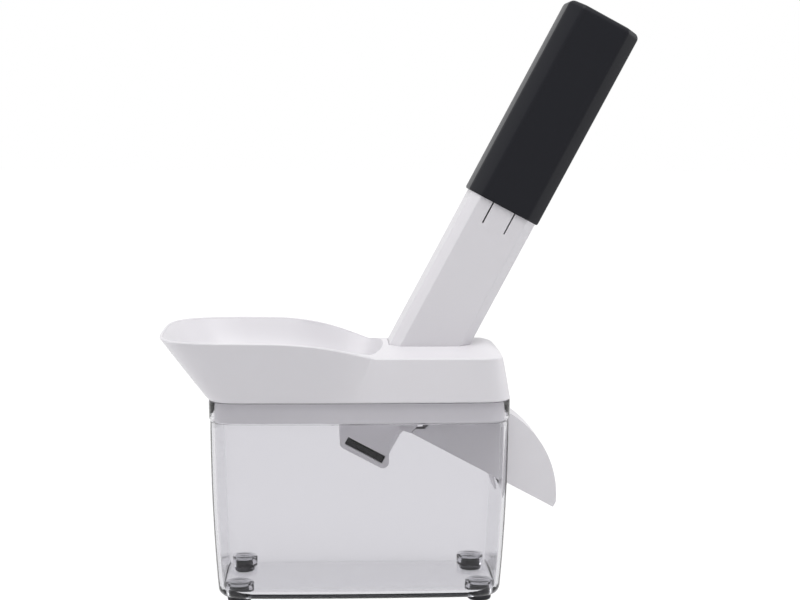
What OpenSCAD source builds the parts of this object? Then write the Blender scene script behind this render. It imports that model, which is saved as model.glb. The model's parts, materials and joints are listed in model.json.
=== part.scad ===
// Cherry pitter with a push handle, a cherry hopper and a clear stone container.
// Millimetres, +Z up. Origin: on the table, under the middle of the whole outline.
// The pieces are drawn about the container's centre, and place() sets them down.
// +X is the side where the pitted cherries come out, -Y is the front.

/* [Container] */
// Outer length of the container at its floor
base_len = 137; // [120:1:160]
// How far the container's middle lies to the right of the drawing's centre
base_shift = 1; // [0:0.5:2]
// Outer depth of the container at its floor
base_dep = 71.4; // [62:0.1:90]
// Outward draft of each container wall over its height
wall_draft = 3.6; // [2:0.1:7]
// Height of the container's rim above the table
rim_z = 97.5; // [90:0.5:120]
// Outer underside of the container's floor above the table
floor_z = 2.3; // [2:0.1:6]
// Wall thickness of the container
clear_wall = 2.1; // [1.6:0.1:3]
// Corner radius of the container
corner_r = 12; // [8:0.5:18]
// Outward bow of each container face at its middle
face_bow = 1.2; // [0:0.1:2.5]
// Height of the widened band at the rim
band_h = 9; // [6:0.5:14]
// Outward step of the band at the rim
band_step = 0.5; // [0.2:0.1:1]

/* [Feet] */
// Radius of the rubber plug that sits in the container
foot_plug_r = 4.9; // [4:0.1:6.5]
// Radius of the rubber foot that touches the table
foot_r = 5.7; // [5:0.1:8]
// Distance of the feet from the container's centre, along its length
foot_x = 57.5; // [50:0.5:60]
// Distance of the feet from the container's centre, along its depth
foot_y = 25; // [20:0.5:27]

/* [Housing] */
// Wall thickness of the housing
shell = 2.2; // [1.8:0.1:3]
// Height of the deck's front edge above the table
deck_edge_z = 118; // [112:0.5:130]
// Height of the deck's crown above its front edge
deck_crown = 3.9; // [2:0.1:6]
// Inward lean of the deck's walls over their height
deck_lean = 1.9; // [0.5:0.1:4]
// Depth of the skirt that hangs inside the container's rim
skirt_h = 10; // [7:0.5:14]

/* [Hopper] */
// Height of the hopper's rim above the table
hopper_z = 127.8; // [124:0.5:135]
// How far the hopper's tip lies from the centre, on the left
hopper_reach = 94; // [86:1:100]
// Half of the hopper's width at its widest
hopper_half = 54; // [48:1:60]
// Height of the hopper's floor where it meets the pitting chamber
feed_z = 94; // [93:0.5:97]

/* [Handle] */
// Angle of the handle from the table
handle_angle = 62; // [58:1:66]
// Where the handle's axis crosses the top of the deck
axis_x = 35; // [32:0.5:38]
// Width of the hollow shaft, seen from the front
shaft_w = 34.5; // [32:0.5:37]
// Depth of the hollow shaft, front to back
shaft_d = 31; // [29:0.5:33]
// Wall thickness of the shaft
shaft_wall = 2; // [1.6:0.1:2.4]
// Chamfer along the shaft's long edges
shaft_chamfer = 4.5; // [3:0.5:6]
// Distance from the deck to the grip's lower edge, along the axis
grip_start = 74.4; // [70:0.2:80]
// Distance from the deck to the grip's end, along the axis
grip_end = 177.4; // [160:0.2:185]
// How much wider the grip is than the shaft
grip_extra = 3; // [2.4:0.2:6]
// Travel of the handle
stroke = 41; // [38:0.5:42]

/* [Pitting parts] */
// Radius of the pitting pin
pin_r = 3.2; // [2.6:0.1:3.6]
// Radius of the pin's toothed head
pin_head_r = 4.2; // [3.8:0.1:4.6]
// Radius of the plunger rod
rod_r = 5.2; // [4.8:0.1:5.6]
// Wire of the return spring
spring_wire = 1.2; // [0.9:0.1:1.6]
// Middle radius of the return spring's coils
spring_r = 7.6; // [7:0.1:8.4]
// Number of coils of the return spring
spring_turns = 15; // [10:1:18]
// Length of the rubber gasket along the slope
gasket_len = 20; // [18:0.5:22]
// Thickness of the rubber gasket
gasket_t = 3.5; // [3:0.1:4]
// Width of the chute outside
chute_w = 26; // [24:0.5:26]
// Thickness of the chute's walls
chute_wall = 1.8; // [1.4:0.1:2]

/* [Fits] */
// Gap between the handle's shaft and the housing
shaft_gap = 0.4; // [0.3:0.05:0.6]
// Gap between the skirt and the container's band
skirt_gap = 0.35; // [0.25:0.05:0.5]
// Radial gap of the pin in the stripper
pin_gap = 0.06; // [0.02:0.01:0.1]
// Gap between the gasket and its slot
gasket_gap = 0.15; // [0.1:0.05:0.3]

/* [Hidden] */

abs_white = [0.93, 0.93, 0.94];
clear_tint = [0.85, 0.87, 0.90, 0.35];
rubber = [0.16, 0.17, 0.18];
charcoal = [0.16, 0.17, 0.19];
steel = [0.75, 0.76, 0.78];
natural = [0.86, 0.87, 0.86];

// ---- Outlines -------------------------------------------------------------

function flip_y(pts) = [for (p = pts) [p[0], -p[1], p[2]]];
function backwards(pts) = [for (i = [len(pts) - 1:-1:0]) pts[i]];
function inner_part(pts) = [for (i = [1:len(pts) - 2]) pts[i]];
// A whole ring from its half with y >= 0, which runs from +X round to -X.
function whole_ring(half) = concat(half, backwards(inner_part(flip_y(half))));

function corner(cx, cy, r, a0, a1, z, steps = 6) =
    [for (i = [0:steps]) let (a = a0 + (a1 - a0) * i / steps)
        [cx + r * cos(a), cy + r * sin(a), z]];

// Half of a rectangle with round corners and bowed sides, x from +hl to -hl.
// split is the x where the long side is divided into its two stretches.
function half_box(hl, hr, hd, r, z, split, bow = face_bow) =
    let (yc = hd - bow - r, xr = hr - bow - r, xl = hl - bow - r)
    concat(
        [for (i = [0:2]) let (y = yc * i / 3) [hr - bow * pow(y / yc, 2), y, z]],
        corner(xr, yc, r, 0, 90, z),
        [for (i = [1:4]) let (x = xr + (split - xr) * i / 4)
            [x, hd - bow * (1 - side_bow(x, xr, xl)), z]],
        [for (i = [1:6]) let (x = split + (-xl - split) * i / 7)
            [x, hd - bow * (1 - side_bow(x, xr, xl)), z]],
        corner(-xl, yc, r, 90, 180, z),
        [for (i = [2:-1:0]) let (y = yc * i / 3) [-hl + bow * pow(y / yc, 2), y, z]]);

// 1 at the middle of a long side, 0 at its two ends.
function side_bow(x, xr, xl) = 1 - pow((2 * x - xr + xl) / (xr + xl), 2);

// A closed solid through rings of equal point counts, from the lowest up.
module loft(rings) {
    n = len(rings[0]);
    last = (len(rings) - 1) * n;
    low_mid = middle(rings[0]);
    top_mid = middle(rings[len(rings) - 1]);
    pts = concat([for (r = rings) each r], [low_mid, top_mid]);
    sides = [for (k = [0:len(rings) - 2], i = [0:n - 1])
        let (j = (i + 1) % n, a = k * n + i, b = k * n + j)
        each [[a, a + n, b + n], [a, b + n, b]]];
    lows = [for (i = [0:n - 1]) [last + n, i, (i + 1) % n]];
    tops = [for (i = [0:n - 1]) [last + n + 1, last + (i + 1) % n, last + i]];
    polyhedron(points = pts, faces = concat(sides, lows, tops), convexity = 8);
}

function middle(ring) = [for (k = [0:2])
    let (v = [for (p = ring) p[k]]) (max(v) + min(v)) / 2];

module flat_outline(ring) {
    polygon([for (p = ring) [p[0], p[1]]]);
}

// ---- The handle's axis ----------------------------------------------------

lean = 90 - handle_angle;
deck_top_z = deck_edge_z + deck_crown;

// Local Z runs up the handle, local X points down to the right.
module on_axis() {
    translate([axis_x, 0, deck_top_z]) rotate([0, lean, 0]) children();
}

// A profile drawn in X and Z, given its depth along Y about the middle.
module across(depth) {
    rotate([90, 0, 0]) linear_extrude(height = depth, center = true) children();
}

// Places on the axis, measured from the deck's top.
seat_s = -40.5;
seat_t = 1.9;
gasket_s = -59.3;
bracket_end_s = -63.5;
stripper_s = -14;
stripper_t = 3;
web_s = 98;
web_t = 3;
rod_start_s = 32;
pin_tip_s = stripper_s - 4.5;
tongue_s = -12;
tongue_right = 2;
hidden_end_z = deck_top_z - 2.9;
shaft_low_z = hidden_end_z - stroke * cos(lean) - 0.5;

inner_w = shaft_w - 2 * shaft_wall;
inner_d = shaft_d - 2 * shaft_wall;
chamber_d = inner_d - 1.4;
cheek_t = 1.8;

// x on the table frame where the seat's plane s has the height z
function plane_z(s, x) = deck_top_z + (s - (x - axis_x) * sin(lean)) / cos(lean);

// ---- Container ------------------------------------------------------------

// The walls lean out most at the floor and stand almost upright at the rim.
function draft_at(z) =
    wall_draft * (1 - pow(max(0, rim_z - z) / (rim_z - floor_z), 2.3));
function box_ring(z, out) = let (more = draft_at(z) + out, half = base_len / 2 + more)
    whole_ring(half_box(half - base_shift, half + base_shift, base_dep / 2 + more,
        corner_r + out, z, 0));

floor_t = 2.6;
band_z = rim_z - band_h;
band_wall = 1.5;
ledge_z = rim_z - skirt_h;
base_edge_r = 2;
socket_r = 7;
socket_top_z = 10.4;
notch_half = chute_w / 2 + 1.4;
notch_z = 53.4;

module container_outside() {
    loft([box_ring(floor_z, -base_edge_r), box_ring(floor_z + 0.6, -0.6),
        box_ring(floor_z + base_edge_r, 0), box_ring(14, 0), box_ring(26, 0),
        box_ring(42, 0), box_ring(62, 0), box_ring(band_z, 0),
        box_ring(band_z + 0.5, band_step), box_ring(rim_z, band_step)]);
}

module container_inside() {
    low = floor_z + floor_t;
    loft([box_ring(low, -clear_wall - 3), box_ring(low + 0.9, -clear_wall - 0.9),
        box_ring(low + 3, -clear_wall), box_ring(17, -clear_wall), box_ring(28, -clear_wall),
        box_ring(44, -clear_wall), box_ring(63, -clear_wall),
        box_ring(ledge_z - 0.1, -clear_wall), box_ring(ledge_z, band_step - band_wall),
        box_ring(rim_z + 1, band_step - band_wall)]);
}

module at_feet() {
    for (x = [-foot_x, foot_x], y = [-foot_y, foot_y])
        translate([base_shift + x, y, 0]) children();
}

foot_hole_r = foot_plug_r + 0.1;
foot_hole_z = socket_top_z - 2.4;

// Round boss over each foot, with a low dome on top.
module foot_sockets() {
    dome_r = 30;
    at_feet() intersection() {
        translate([0, 0, floor_z + 0.5]) cylinder(r = socket_r, h = 8, $fn = 40);
        translate([0, 0, socket_top_z - dome_r]) sphere(r = dome_r, $fn = 72);
    }
}

module stone_container() {
    color(clear_tint) difference() {
        union() {
            difference() {
                container_outside();
                container_inside();
            }
            intersection() {
                foot_sockets();
                container_outside();
            }
        }
        at_feet() translate([0, 0, floor_z - 1])
            cylinder(r = foot_hole_r, h = foot_hole_z - floor_z + 1, $fn = 40);
        translate([base_len / 2 - 12, -notch_half, notch_z])
            cube([40, 2 * notch_half, rim_z]);
    }
}

module foot() {
    round_r = 1.2;
    color(rubber) rotate_extrude($fn = 48) polygon(concat(
        [[0, 0], [foot_r - round_r, 0]],
        [for (a = [-60:30:0]) [foot_r - round_r + round_r * cos(a),
            round_r + round_r * sin(a)]],
        [[foot_r, floor_z - 0.6], [foot_r - 0.6, floor_z], [foot_plug_r, floor_z],
            [foot_plug_r, foot_hole_z - 0.8], [foot_plug_r - 0.7, foot_hole_z - 0.1],
            [0, foot_hole_z - 0.1]]));
}

module foot_at(x, y) {
    translate([base_shift + x, y, 0]) foot();
}

// ---- Housing with its hopper ----------------------------------------------

seam_z = rim_z + 0.35;
seam_half_l = base_len / 2 + wall_draft + band_step;
seam_overhang = 0.1;
seam_right = seam_half_l + base_shift;
seam_left = seam_half_l - base_shift + seam_overhang;
seam_half_d = base_dep / 2 + wall_draft + band_step;
seam_split = -1.4;
rim_mid_x = -40;
rim_right_a = 63.5;
deck_half_l = seam_right - 4.1;
deck_half_d = seam_half_d - deck_lean;
deck_corner_r = 9;
dip_start = -38;
dip_length = 51;
end_round = 8.5;
flare_bulge = 0.2;
lip_t = 1.5;

// 0 along the hopper's level rim, 1 on the deck.
function dip(x) =
    let (t = pow(min(1, max(0, (x - dip_start) / dip_length)), 1.6)) t * t * (3 - 2 * t);
function crown(y) = 1 - pow(y / deck_half_d, 2);
// Height of the housing's top surface, hopper rim and deck together.
function top_z(x, y) =
    let (e = max(0, (x - deck_half_l + end_round) / end_round))
    hopper_z - (hopper_z - deck_edge_z) * dip(x)
    + deck_crown * crown(y) * dip(x)
    - (deck_crown * crown(y) + 0.8) * pow(min(e, 1), 2.2);

function half_seam(w, z) =
    half_box(seam_left - w, seam_right - w, seam_half_d - w,
        corner_r - w / 2, z, seam_split);

// Half of the rim: the deck's edge on the right, the hopper's lip on the left.
function half_rim(w, drop) =
    let (b = hopper_half - w, a = rim_right_a - w, hd = deck_half_d - w,
        hl = deck_half_l - w, r = deck_corner_r - w / 2, tip = hopper_reach + rim_mid_x - w,
        yc = hd - r, xc = hl - r, start = asin(hd / b),
        plan = concat(
            [for (i = [0:2]) [hl - 0.8 * pow(i / 3, 2), yc * i / 3]],
            [for (i = [0:6]) [xc - 0.8 + r * cos(15 * i), yc + r * sin(15 * i)]],
            [for (i = [1:4]) let (x1 = rim_mid_x + a * cos(start))
                [xc + (x1 - xc) * i / 4, hd]],
            [for (i = [1:6]) let (t = start + (90 - start) * i / 6)
                [rim_mid_x + a * cos(t), b * sin(t)]],
            [for (i = [9:-1:0]) let (t = 90 * pow(i / 10, 1.6))
                [rim_mid_x - tip * sqrt(cos(t)), b * sqrt(sin(t))]]))
    [for (p = plan) [p[0], p[1], top_z(p[0], p[1]) - drop]];

function between(low, high, t, bulge) =
    [for (i = [0:len(low) - 1]) let (d = high[i] - low[i],
        out = bulge * sin(180 * t) * min(1, norm([d[0], d[1]]) / 12),
        flat = max(0.001, norm([low[i][0], low[i][1]])))
        low[i] + d * t + [low[i][0], low[i][1], 0] * out / flat];

function shrink(ring, f, drop) =
    [for (p = ring) let (x = 20 + (p[0] - 20) * f, y = p[1] * f) [x, y, top_z(x, y) - drop]];

// The housing's outer form, or, with a wall and a drop, the hollow in it.
module housing_form(w, drop, low_z) {
    low = whole_ring(half_seam(w, low_z));
    rim = whole_ring(half_rim(w, drop));
    lip = whole_ring(half_rim(w + 0.7, drop - 0.15));
    loft([low, between(low, rim, 0.3, flare_bulge), between(low, rim, 0.65, flare_bulge),
        rim, lip, shrink(lip, 0.86, drop), shrink(lip, 0.68, drop),
        shrink(lip, 0.45, drop), shrink(lip, 0.2, drop)]);
}

bowl_right = 12.5;
bowl_power = 2.5;
feed_half = chamber_d / 2 - cheek_t;

// Half of a hopper ring: left half nearly square, right half a rounder end.
function half_bowl(left, right, half, z_left, z_right, extra = 0) =
    let (plan = concat(
        [for (i = [0:9]) let (t = 90 * pow(i / 10, 1.3))
            [rim_mid_x + (right - rim_mid_x) * pow(cos(t), 2 / bowl_power),
                half * pow(sin(t), 2 / bowl_power)]],
        [for (i = [10:-1:0]) let (t = 90 * pow(i / 10, 1.6))
            [rim_mid_x - (left + rim_mid_x) * sqrt(cos(t)), half * sqrt(sin(t))]]))
    [for (p = plan) let (u = (p[0] + left) / (left + right))
        [p[0], p[1], z_left + (z_right - z_left) * u + extra]];

// The hollow of the hopper; with a wall, the outside of its shell below the deck.
module bowl(w) {
    top = [for (p = half_bowl(hopper_reach - lip_t + w, bowl_right + w,
        hopper_half - lip_t - 0.2 + w, 0, 0)) [p[0], p[1], hopper_z + 4]];
    mouth = [for (p = half_bowl(hopper_reach - lip_t + w, bowl_right + w,
        hopper_half - lip_t - 0.2 + w, 0, 0)) [p[0], p[1], top_z(p[0], p[1]) - 1.2]];
    loft([
        whole_ring(half_bowl(58 + w, 4 + w, feed_half + w, feed_z + 7 - w, feed_z - w)),
        whole_ring(half_bowl(67 + w, 7 + w, 27 + w, feed_z + 10 - w, feed_z + 3 - w)),
        whole_ring(half_bowl(73.5 + w, 8 + w, 37 + w, feed_z + 14.5 - w, feed_z + 8 - w)),
        whole_ring(half_bowl(83 + w, 9.5 + w, 45.5 + w, feed_z + 22, feed_z + 17)),
        whole_ring(mouth), whole_ring(top)]);
}

// Passage of the shaft through the housing, with its gap all round.
module shaft_passage() {
    w = shaft_w + 2 * shaft_gap;
    d = shaft_d + 2 * shaft_gap;
    on_axis() translate([0, 0, -70]) linear_extrude(height = 120)
        chamfered(w, d, shaft_chamfer - 0.2);
}

module chamfered(w, d, c) {
    x = w / 2;
    y = d / 2;
    polygon([[x - c, -y], [x, -y + c], [x, y - c], [x - c, y],
        [-x + c, y], [-x, y - c], [-x, -y + c], [-x + c, -y]]);
}

guide_t = 2;
guide_end_z = 91;

// Walls inside the housing that the shaft slides between.
module guide_walls() {
    d = shaft_d + 2 * shaft_gap + 2 * guide_t;
    w = shaft_w + 2 * shaft_gap + 2 * guide_t;
    intersection() {
        on_axis() translate([0, 0, -60]) linear_extrude(height = 70)
            chamfered(w, d, shaft_chamfer);
        translate([-12, -d, guide_end_z])
            cube([90, 2 * d, deck_edge_z - guide_end_z - 0.5]);
    }
}

bracket_screw_x = [-12, 30];
bracket_screw_y = 27;
chute_screw_x = 54;
chute_screw_y = 22;
screw_r = 1.4;
boss_r = 3.4;
flange_z = seam_z - skirt_h + 0.4;
flange_t = 2.2;

module at_bracket_screws() {
    for (x = bracket_screw_x, y = [-bracket_screw_y, bracket_screw_y])
        translate([x, y, 0]) children();
}

module at_chute_screws() {
    for (y = [-chute_screw_y, chute_screw_y]) translate([chute_screw_x, y, 0]) children();
}

skirt_out = band_step - band_wall - skirt_gap;

// The skirt hangs from a ledge that joins it to the housing's wall.
module skirt() {
    low = seam_z - skirt_h;
    translate([0, 0, low]) linear_extrude(height = skirt_h + 1) difference() {
        flat_outline(box_ring(low, skirt_out));
        flat_outline(box_ring(low, skirt_out - shell));
    }
    translate([0, 0, seam_z]) linear_extrude(height = shell) difference() {
        flat_outline(box_ring(rim_z, band_step - 0.5));
        flat_outline(box_ring(low, skirt_out - shell));
    }
}

module housing() {
    boss_z = flange_z + flange_t;
    color(abs_white) difference() {
        union() {
            difference() {
                housing_form(0, 0, seam_z);
                difference() {
                    housing_form(shell, shell + 0.4, seam_z - 1);
                    bowl(shell);
                }
            }
            skirt();
            intersection() {
                bowl(shell);
                translate([-70, -60, seam_z - skirt_h + 1]) cube([90, 120, 15]);
            }
            guide_walls();
            intersection() {
                union() {
                    at_bracket_screws() translate([0, 0, boss_z])
                        cylinder(r = boss_r, h = 30, $fn = 32);
                    at_chute_screws() translate([0, 0, boss_z])
                        cylinder(r = boss_r, h = 30, $fn = 32);
                }
                housing_form(shell / 2, shell / 2, boss_z - 0.01);
            }
        }
        bowl(0);
        shaft_passage();
        at_bracket_screws() translate([0, 0, boss_z - 1])
            cylinder(r = screw_r, h = 7, $fn = 24);
        at_chute_screws() translate([0, 0, boss_z - 1])
            cylinder(r = screw_r, h = 7, $fn = 24);
    }
}

// ---- Pitting bracket with the cherry seat ---------------------------------

bracket_left = -8.6;
bracket_right = 15;
bracket_half = 18;
bracket_wall = 2;
bracket_r = 3;
stone_r = 7;
stone_tube_r = 9.2;
seat_left = -14.6;
seat_right = 12;
gasket_mid = -4.2;
gasket_y0 = -bracket_half;
gasket_y1 = chamber_d / 2 - 1.5;
block_half = chamber_d / 2;

// Front outline of the bracket in X and Z, drawn in by a wall w.
module bracket_outline(w) {
    top = flange_z + flange_t;
    r = max(0.6, bracket_r - w);
    hull() {
        translate([bracket_left + w, top - 1]) square([bracket_right - bracket_left - 2 * w, 1]);
        translate([bracket_left + w + r, corner_z(bracket_left + w + r, w) ]) circle(r, $fn = 32);
        translate([bracket_right - w - r, corner_z(bracket_right - w - r, w)]) circle(r, $fn = 32);
    }
    polygon([[bracket_right - w - 0.5, top], [bracket_right - w - 0.5, 76],
        [bracket_right - w, 75], [bracket_right + 5.3 - w, 82], [bracket_right + 5.3 - w, top]]);
}

// Height of a corner's centre so that the bracket's sloping underside lies at its plane.
function corner_z(x, w) = plane_z(bracket_end_s + w + max(0.6, bracket_r - w), x);

module bracket_shell() {
    difference() {
        across(2 * bracket_half) bracket_outline(0);
        across(2 * bracket_half - 2 * bracket_wall) bracket_outline(bracket_wall);
        translate([bracket_left + bracket_wall, -bracket_half + bracket_wall, 81.4])
            cube([60, 2 * bracket_half - 2 * bracket_wall, 20]);
    }
}

module bracket_flange() {
    left = -17;
    right = 36;
    wing = 33;
    translate([left, -wing, flange_z]) difference() {
        cube([right - left, 2 * wing, flange_t]);
        translate([bracket_left + bracket_wall - left, wing - bracket_half + bracket_wall, -1])
            cube([80, 2 * bracket_half - 2 * bracket_wall, flange_t + 2]);
    }
}

// The seat, its stone tube and the block that holds the gasket, all on the axis.
module seat_island() {
    w = seat_right - seat_left;
    intersection() {
        translate([seat_left, -block_half, seat_s - seat_t]) cube([w, 2 * block_half, seat_t]);
        translate([0, 0, seat_s - 5]) linear_extrude(height = 10)
            chamfered(inner_w - 0.5, 2 * block_half, shaft_chamfer - 1.2);
    }
    translate([0, 0, bracket_end_s + 1]) cylinder(r = stone_tube_r,
        h = seat_s - bracket_end_s - 2, $fn = 48);
    translate([gasket_mid - gasket_len / 2 - 1.6, -block_half, bracket_end_s + 1])
        cube([gasket_len + 3.1, 2 * block_half, gasket_s - bracket_end_s + gasket_t / 2 + 0.4]);
    for (side = [-1, 1]) translate([-11, side * (block_half - cheek_t / 2) - cheek_t / 2, seat_s - 0.5])
        cube([seat_right + 11, cheek_t, stripper_s - seat_s + 0.5]);
}

module gasket_slot() {
    g = gasket_gap;
    translate([gasket_mid - gasket_len / 2 - g, -bracket_half - 1, gasket_s - gasket_t / 2 - g])
        cube([gasket_len + 2 * g, bracket_half + 1 + gasket_y1 + g, gasket_t + 2 * g]);
}

stripper_screw_u = 8;
cheek_screw_depth = 6;

module at_stripper_screws() {
    for (u = [-stripper_screw_u, stripper_screw_u], side = [-1, 1])
        translate([u, side * (block_half - cheek_t / 2), 0]) children();
}

module pitting_bracket() {
    color(abs_white) difference() {
        union() {
            bracket_shell();
            bracket_flange();
            on_axis() seat_island();
        }
        on_axis() {
            translate([0, 0, bracket_end_s - 5]) cylinder(r = stone_r,
                h = seat_s - bracket_end_s + 6, $fn = 48);
            translate([0, 0, seat_s - 2.2]) cylinder(r1 = stone_r, r2 = stone_r + 2.6,
                h = 2.6, $fn = 48);
            gasket_slot();
            at_stripper_screws() translate([0, 0, stripper_s - cheek_screw_depth - 0.5])
                cylinder(r = 0.45, h = cheek_screw_depth + 1, $fn = 24);
        }
        at_bracket_screws() translate([0, 0, flange_z - 1])
            cylinder(r = screw_r + 0.1, h = flange_t + 2, $fn = 24);
    }
}

screw_len = 7;
head_r = 2.8;
head_h = 1.6;

module screw_up(length) {
    color(steel) {
        translate([0, 0, -0.01]) cylinder(r = screw_r - 0.05, h = length, $fn = 24);
        difference() {
            translate([0, 0, -head_h]) cylinder(r1 = head_r - 0.5, r2 = head_r, h = head_h, $fn = 24);
            for (a = [0, 90]) rotate([0, 0, a]) translate([-1.4, -0.3, -head_h - 0.5])
                cube([2.8, 0.6, 1.3]);
        }
    }
}

module bracket_screws() {
    at_bracket_screws() translate([0, 0, flange_z]) screw_up(screw_len);
}

// ---- Gasket ---------------------------------------------------------------

gasket_hole_r = pin_head_r + 0.4;

module gasket() {
    tab = 4;
    color(rubber) on_axis() difference() {
        union() {
            translate([gasket_mid - gasket_len / 2, gasket_y0 + 0.8, gasket_s - gasket_t / 2])
                cube([gasket_len, gasket_y1 - gasket_y0 - 0.8, gasket_t]);
            translate([gasket_mid + gasket_len / 2 - tab, gasket_y0 - 0.4, gasket_s - gasket_t / 2])
                cube([tab, 2, gasket_t]);
        }
        translate([0, 0, gasket_s - gasket_t]) cylinder(r = gasket_hole_r, h = 2 * gasket_t, $fn = 40);
        translate([gasket_mid - gasket_len / 2 + 1.5, gasket_y0 + 0.2, gasket_s + gasket_t / 2 - 0.9])
            cube([gasket_len - tab - 3, 3, 2]);
    }
}

// ---- Chute ----------------------------------------------------------------

chute_start = seat_right + 0.3;
chute_floor_end = 47;
hood_x = 49.8;
hood_z = 47.8;
hood_r = 47;
hood_step_x = 72.3;
chute_top_z = flange_z + flange_t + 0.3;
under_skirt_z = seam_z - skirt_h - 0.4;
tip_x = 95.3;

// Points on the hood from its tip back to the height where it meets the skirt.
function hood_arc(w, x_back, steps = 16) =
    let (a1 = acos((x_back - hood_x) / (hood_r - w)))
    [for (i = [0:steps]) let (a = -4 + (a1 + 4) * i / steps)
        [hood_x + (hood_r - w) * cos(a), hood_z + (hood_r - w) * sin(a)]];

function chute_start_x(s) = axis_x + s * sin(lean) + chute_start * cos(lean);

// Side outline of the chute in X and Z: its floor's underside, tip, hood and back.
module chute_side() {
    s = seat_s - seat_t;
    x0 = chute_start_x(s);
    polygon(concat(
        [[x0, plane_z(s, x0)], [tip_x, plane_z(s, tip_x)]],
        hood_arc(0, hood_step_x), [[hood_step_x, under_skirt_z], [61.5, under_skirt_z],
            [61.5, chute_top_z], [x0, chute_top_z]]));
}

module chute_hollow() {
    s = seat_s;
    x0 = chute_start_x(s) - 12;
    fx = axis_x + s * sin(lean) + (chute_start + chute_floor_end) * cos(lean);
    inner_top = under_skirt_z - chute_wall;
    polygon(concat(
        [[x0, plane_z(s, x0)], [fx, plane_z(s, fx)], [fx, plane_z(s, fx) - 12],
            [hood_x + hood_r - chute_wall, plane_z(s, fx) - 40]],
        hood_arc(chute_wall, hood_step_x + chute_wall),
        [[hood_step_x + chute_wall, inner_top], [61.5 - chute_wall, inner_top],
            [61.5 - chute_wall, chute_top_z + 9], [x0, chute_top_z + 9]]));
}

// Room for the handle's shaft, which comes down between the chute's walls.
module shaft_room() {
    intersection() {
        shaft_passage();
        translate([-50, -50, shaft_low_z]) cube([200, 100, 60]);
    }
    on_axis() translate([-60, -40, seat_s - 20]) cube([60 + chute_start, 80, 90]);
}

module chute() {
    s = seat_s - seat_t;
    lip_x = 65.3;
    color(abs_white) {
        difference() {
            across(chute_w) chute_side();
            across(chute_w - 2 * chute_wall) chute_hollow();
            shaft_room();
        }
        across(chute_w) polygon([[lip_x, plane_z(s, lip_x) + 0.5],
            [lip_x + 1.4, plane_z(s, lip_x + 1.4) + 0.5], [lip_x + 3.4, 51.2], [lip_x + 2.2, 51]]);
        difference() {
            translate([chute_screw_x - 7, -30, flange_z]) cube([14, 60, flange_t]);
            translate([0, -chute_w / 2 + 1, flange_z - 1]) cube([90, chute_w - 2, 9]);
            at_chute_screws() translate([0, 0, flange_z - 1])
                cylinder(r = screw_r + 0.1, h = flange_t + 2, $fn = 24);
        }
    }
}

module chute_screws() {
    at_chute_screws() translate([0, 0, flange_z]) screw_up(screw_len);
}

// ---- Stripper, spring and their seats --------------------------------------

module stripper() {
    color(abs_white) on_axis() difference() {
        translate([-11, -block_half, stripper_s]) cube([seat_right + 11, 2 * block_half, stripper_t]);
        translate([0, 0, stripper_s - 1]) cylinder(r = pin_r + pin_gap, h = stripper_t + 2, $fn = 48);
        at_stripper_screws() translate([0, 0, stripper_s - 1])
            cylinder(r = 0.45, h = stripper_t + 2, $fn = 24);
    }
}

module stripper_screws() {
    color(steel) on_axis() at_stripper_screws() {
        translate([0, 0, stripper_s - cheek_screw_depth])
            cylinder(r = 0.4, h = cheek_screw_depth + stripper_t + 0.2, $fn = 24);
        translate([0, 0, stripper_s + stripper_t]) cylinder(r = 0.85, h = 0.7, $fn = 24);
    }
}

washer_t = 1;

module spring_washer() {
    color(steel) on_axis() translate([0, 0, stripper_s + stripper_t]) difference() {
        cylinder(r = spring_r + 1.6, h = washer_t, $fn = 48);
        translate([0, 0, -1]) cylinder(r = rod_r + 0.5, h = washer_t + 2, $fn = 48);
    }
}

cap_t = 1.4;

module spring_cap() {
    color(natural) on_axis() translate([0, 0, web_s - cap_t]) difference() {
        union() {
            cylinder(r = spring_r + 1.8, h = cap_t, $fn = 48);
            translate([0, 0, -3]) cylinder(r = spring_r - spring_wire - 0.2, h = 4, $fn = 48);
        }
        translate([0, 0, -4]) cylinder(r = rod_r + 0.05, h = 8, $fn = 48);
    }
}

// The spring's wire as one tube: closed end coils, open coils between them.
spring_low = stripper_s + stripper_t + washer_t;
spring_high = web_s - cap_t;
end_coils = 1.5;
wire_sides = 6;
rings_per_coil = 8;

function coil_height(t) =
    let (rest = spring_turns - 2 * end_coils, shut = spring_wire * 1.08,
        open = spring_high - spring_low - spring_wire - 2 * end_coils * shut)
    spring_low + spring_wire / 2 + (t < end_coils ? t * shut
        : t > spring_turns - end_coils
            ? end_coils * shut + open + (t - spring_turns + end_coils) * shut
            : end_coils * shut + open * (t - end_coils) / rest);

module return_spring() {
    steps = spring_turns * rings_per_coil;
    pts = [for (i = [0:steps], k = [0:wire_sides - 1])
        let (t = i / rings_per_coil, a = 360 * t, b = 360 * k / wire_sides,
            r = spring_r + spring_wire / 2 * cos(b))
        [r * cos(a), r * sin(a), coil_height(t) + spring_wire / 2 * sin(b)]];
    n = wire_sides;
    sides = [for (i = [0:steps - 1], k = [0:n - 1])
        let (a = i * n + k, b = i * n + (k + 1) % n)
        each [[a, a + n, b + n], [a, b + n, b]]];
    start = [for (k = [1:n - 2]) [0, k, k + 1]];
    end = [for (k = [1:n - 2]) [steps * n, steps * n + k + 1, steps * n + k]];
    color(steel) on_axis() polyhedron(points = pts, faces = concat(sides, start, end), convexity = 20);
}

// ---- Handle ---------------------------------------------------------------

slit_u = 5.8;
slit_w = 1;
slit_start = grip_start - 11;
slit_end = grip_start + 21;
shaft_end = grip_end - 7;

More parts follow.
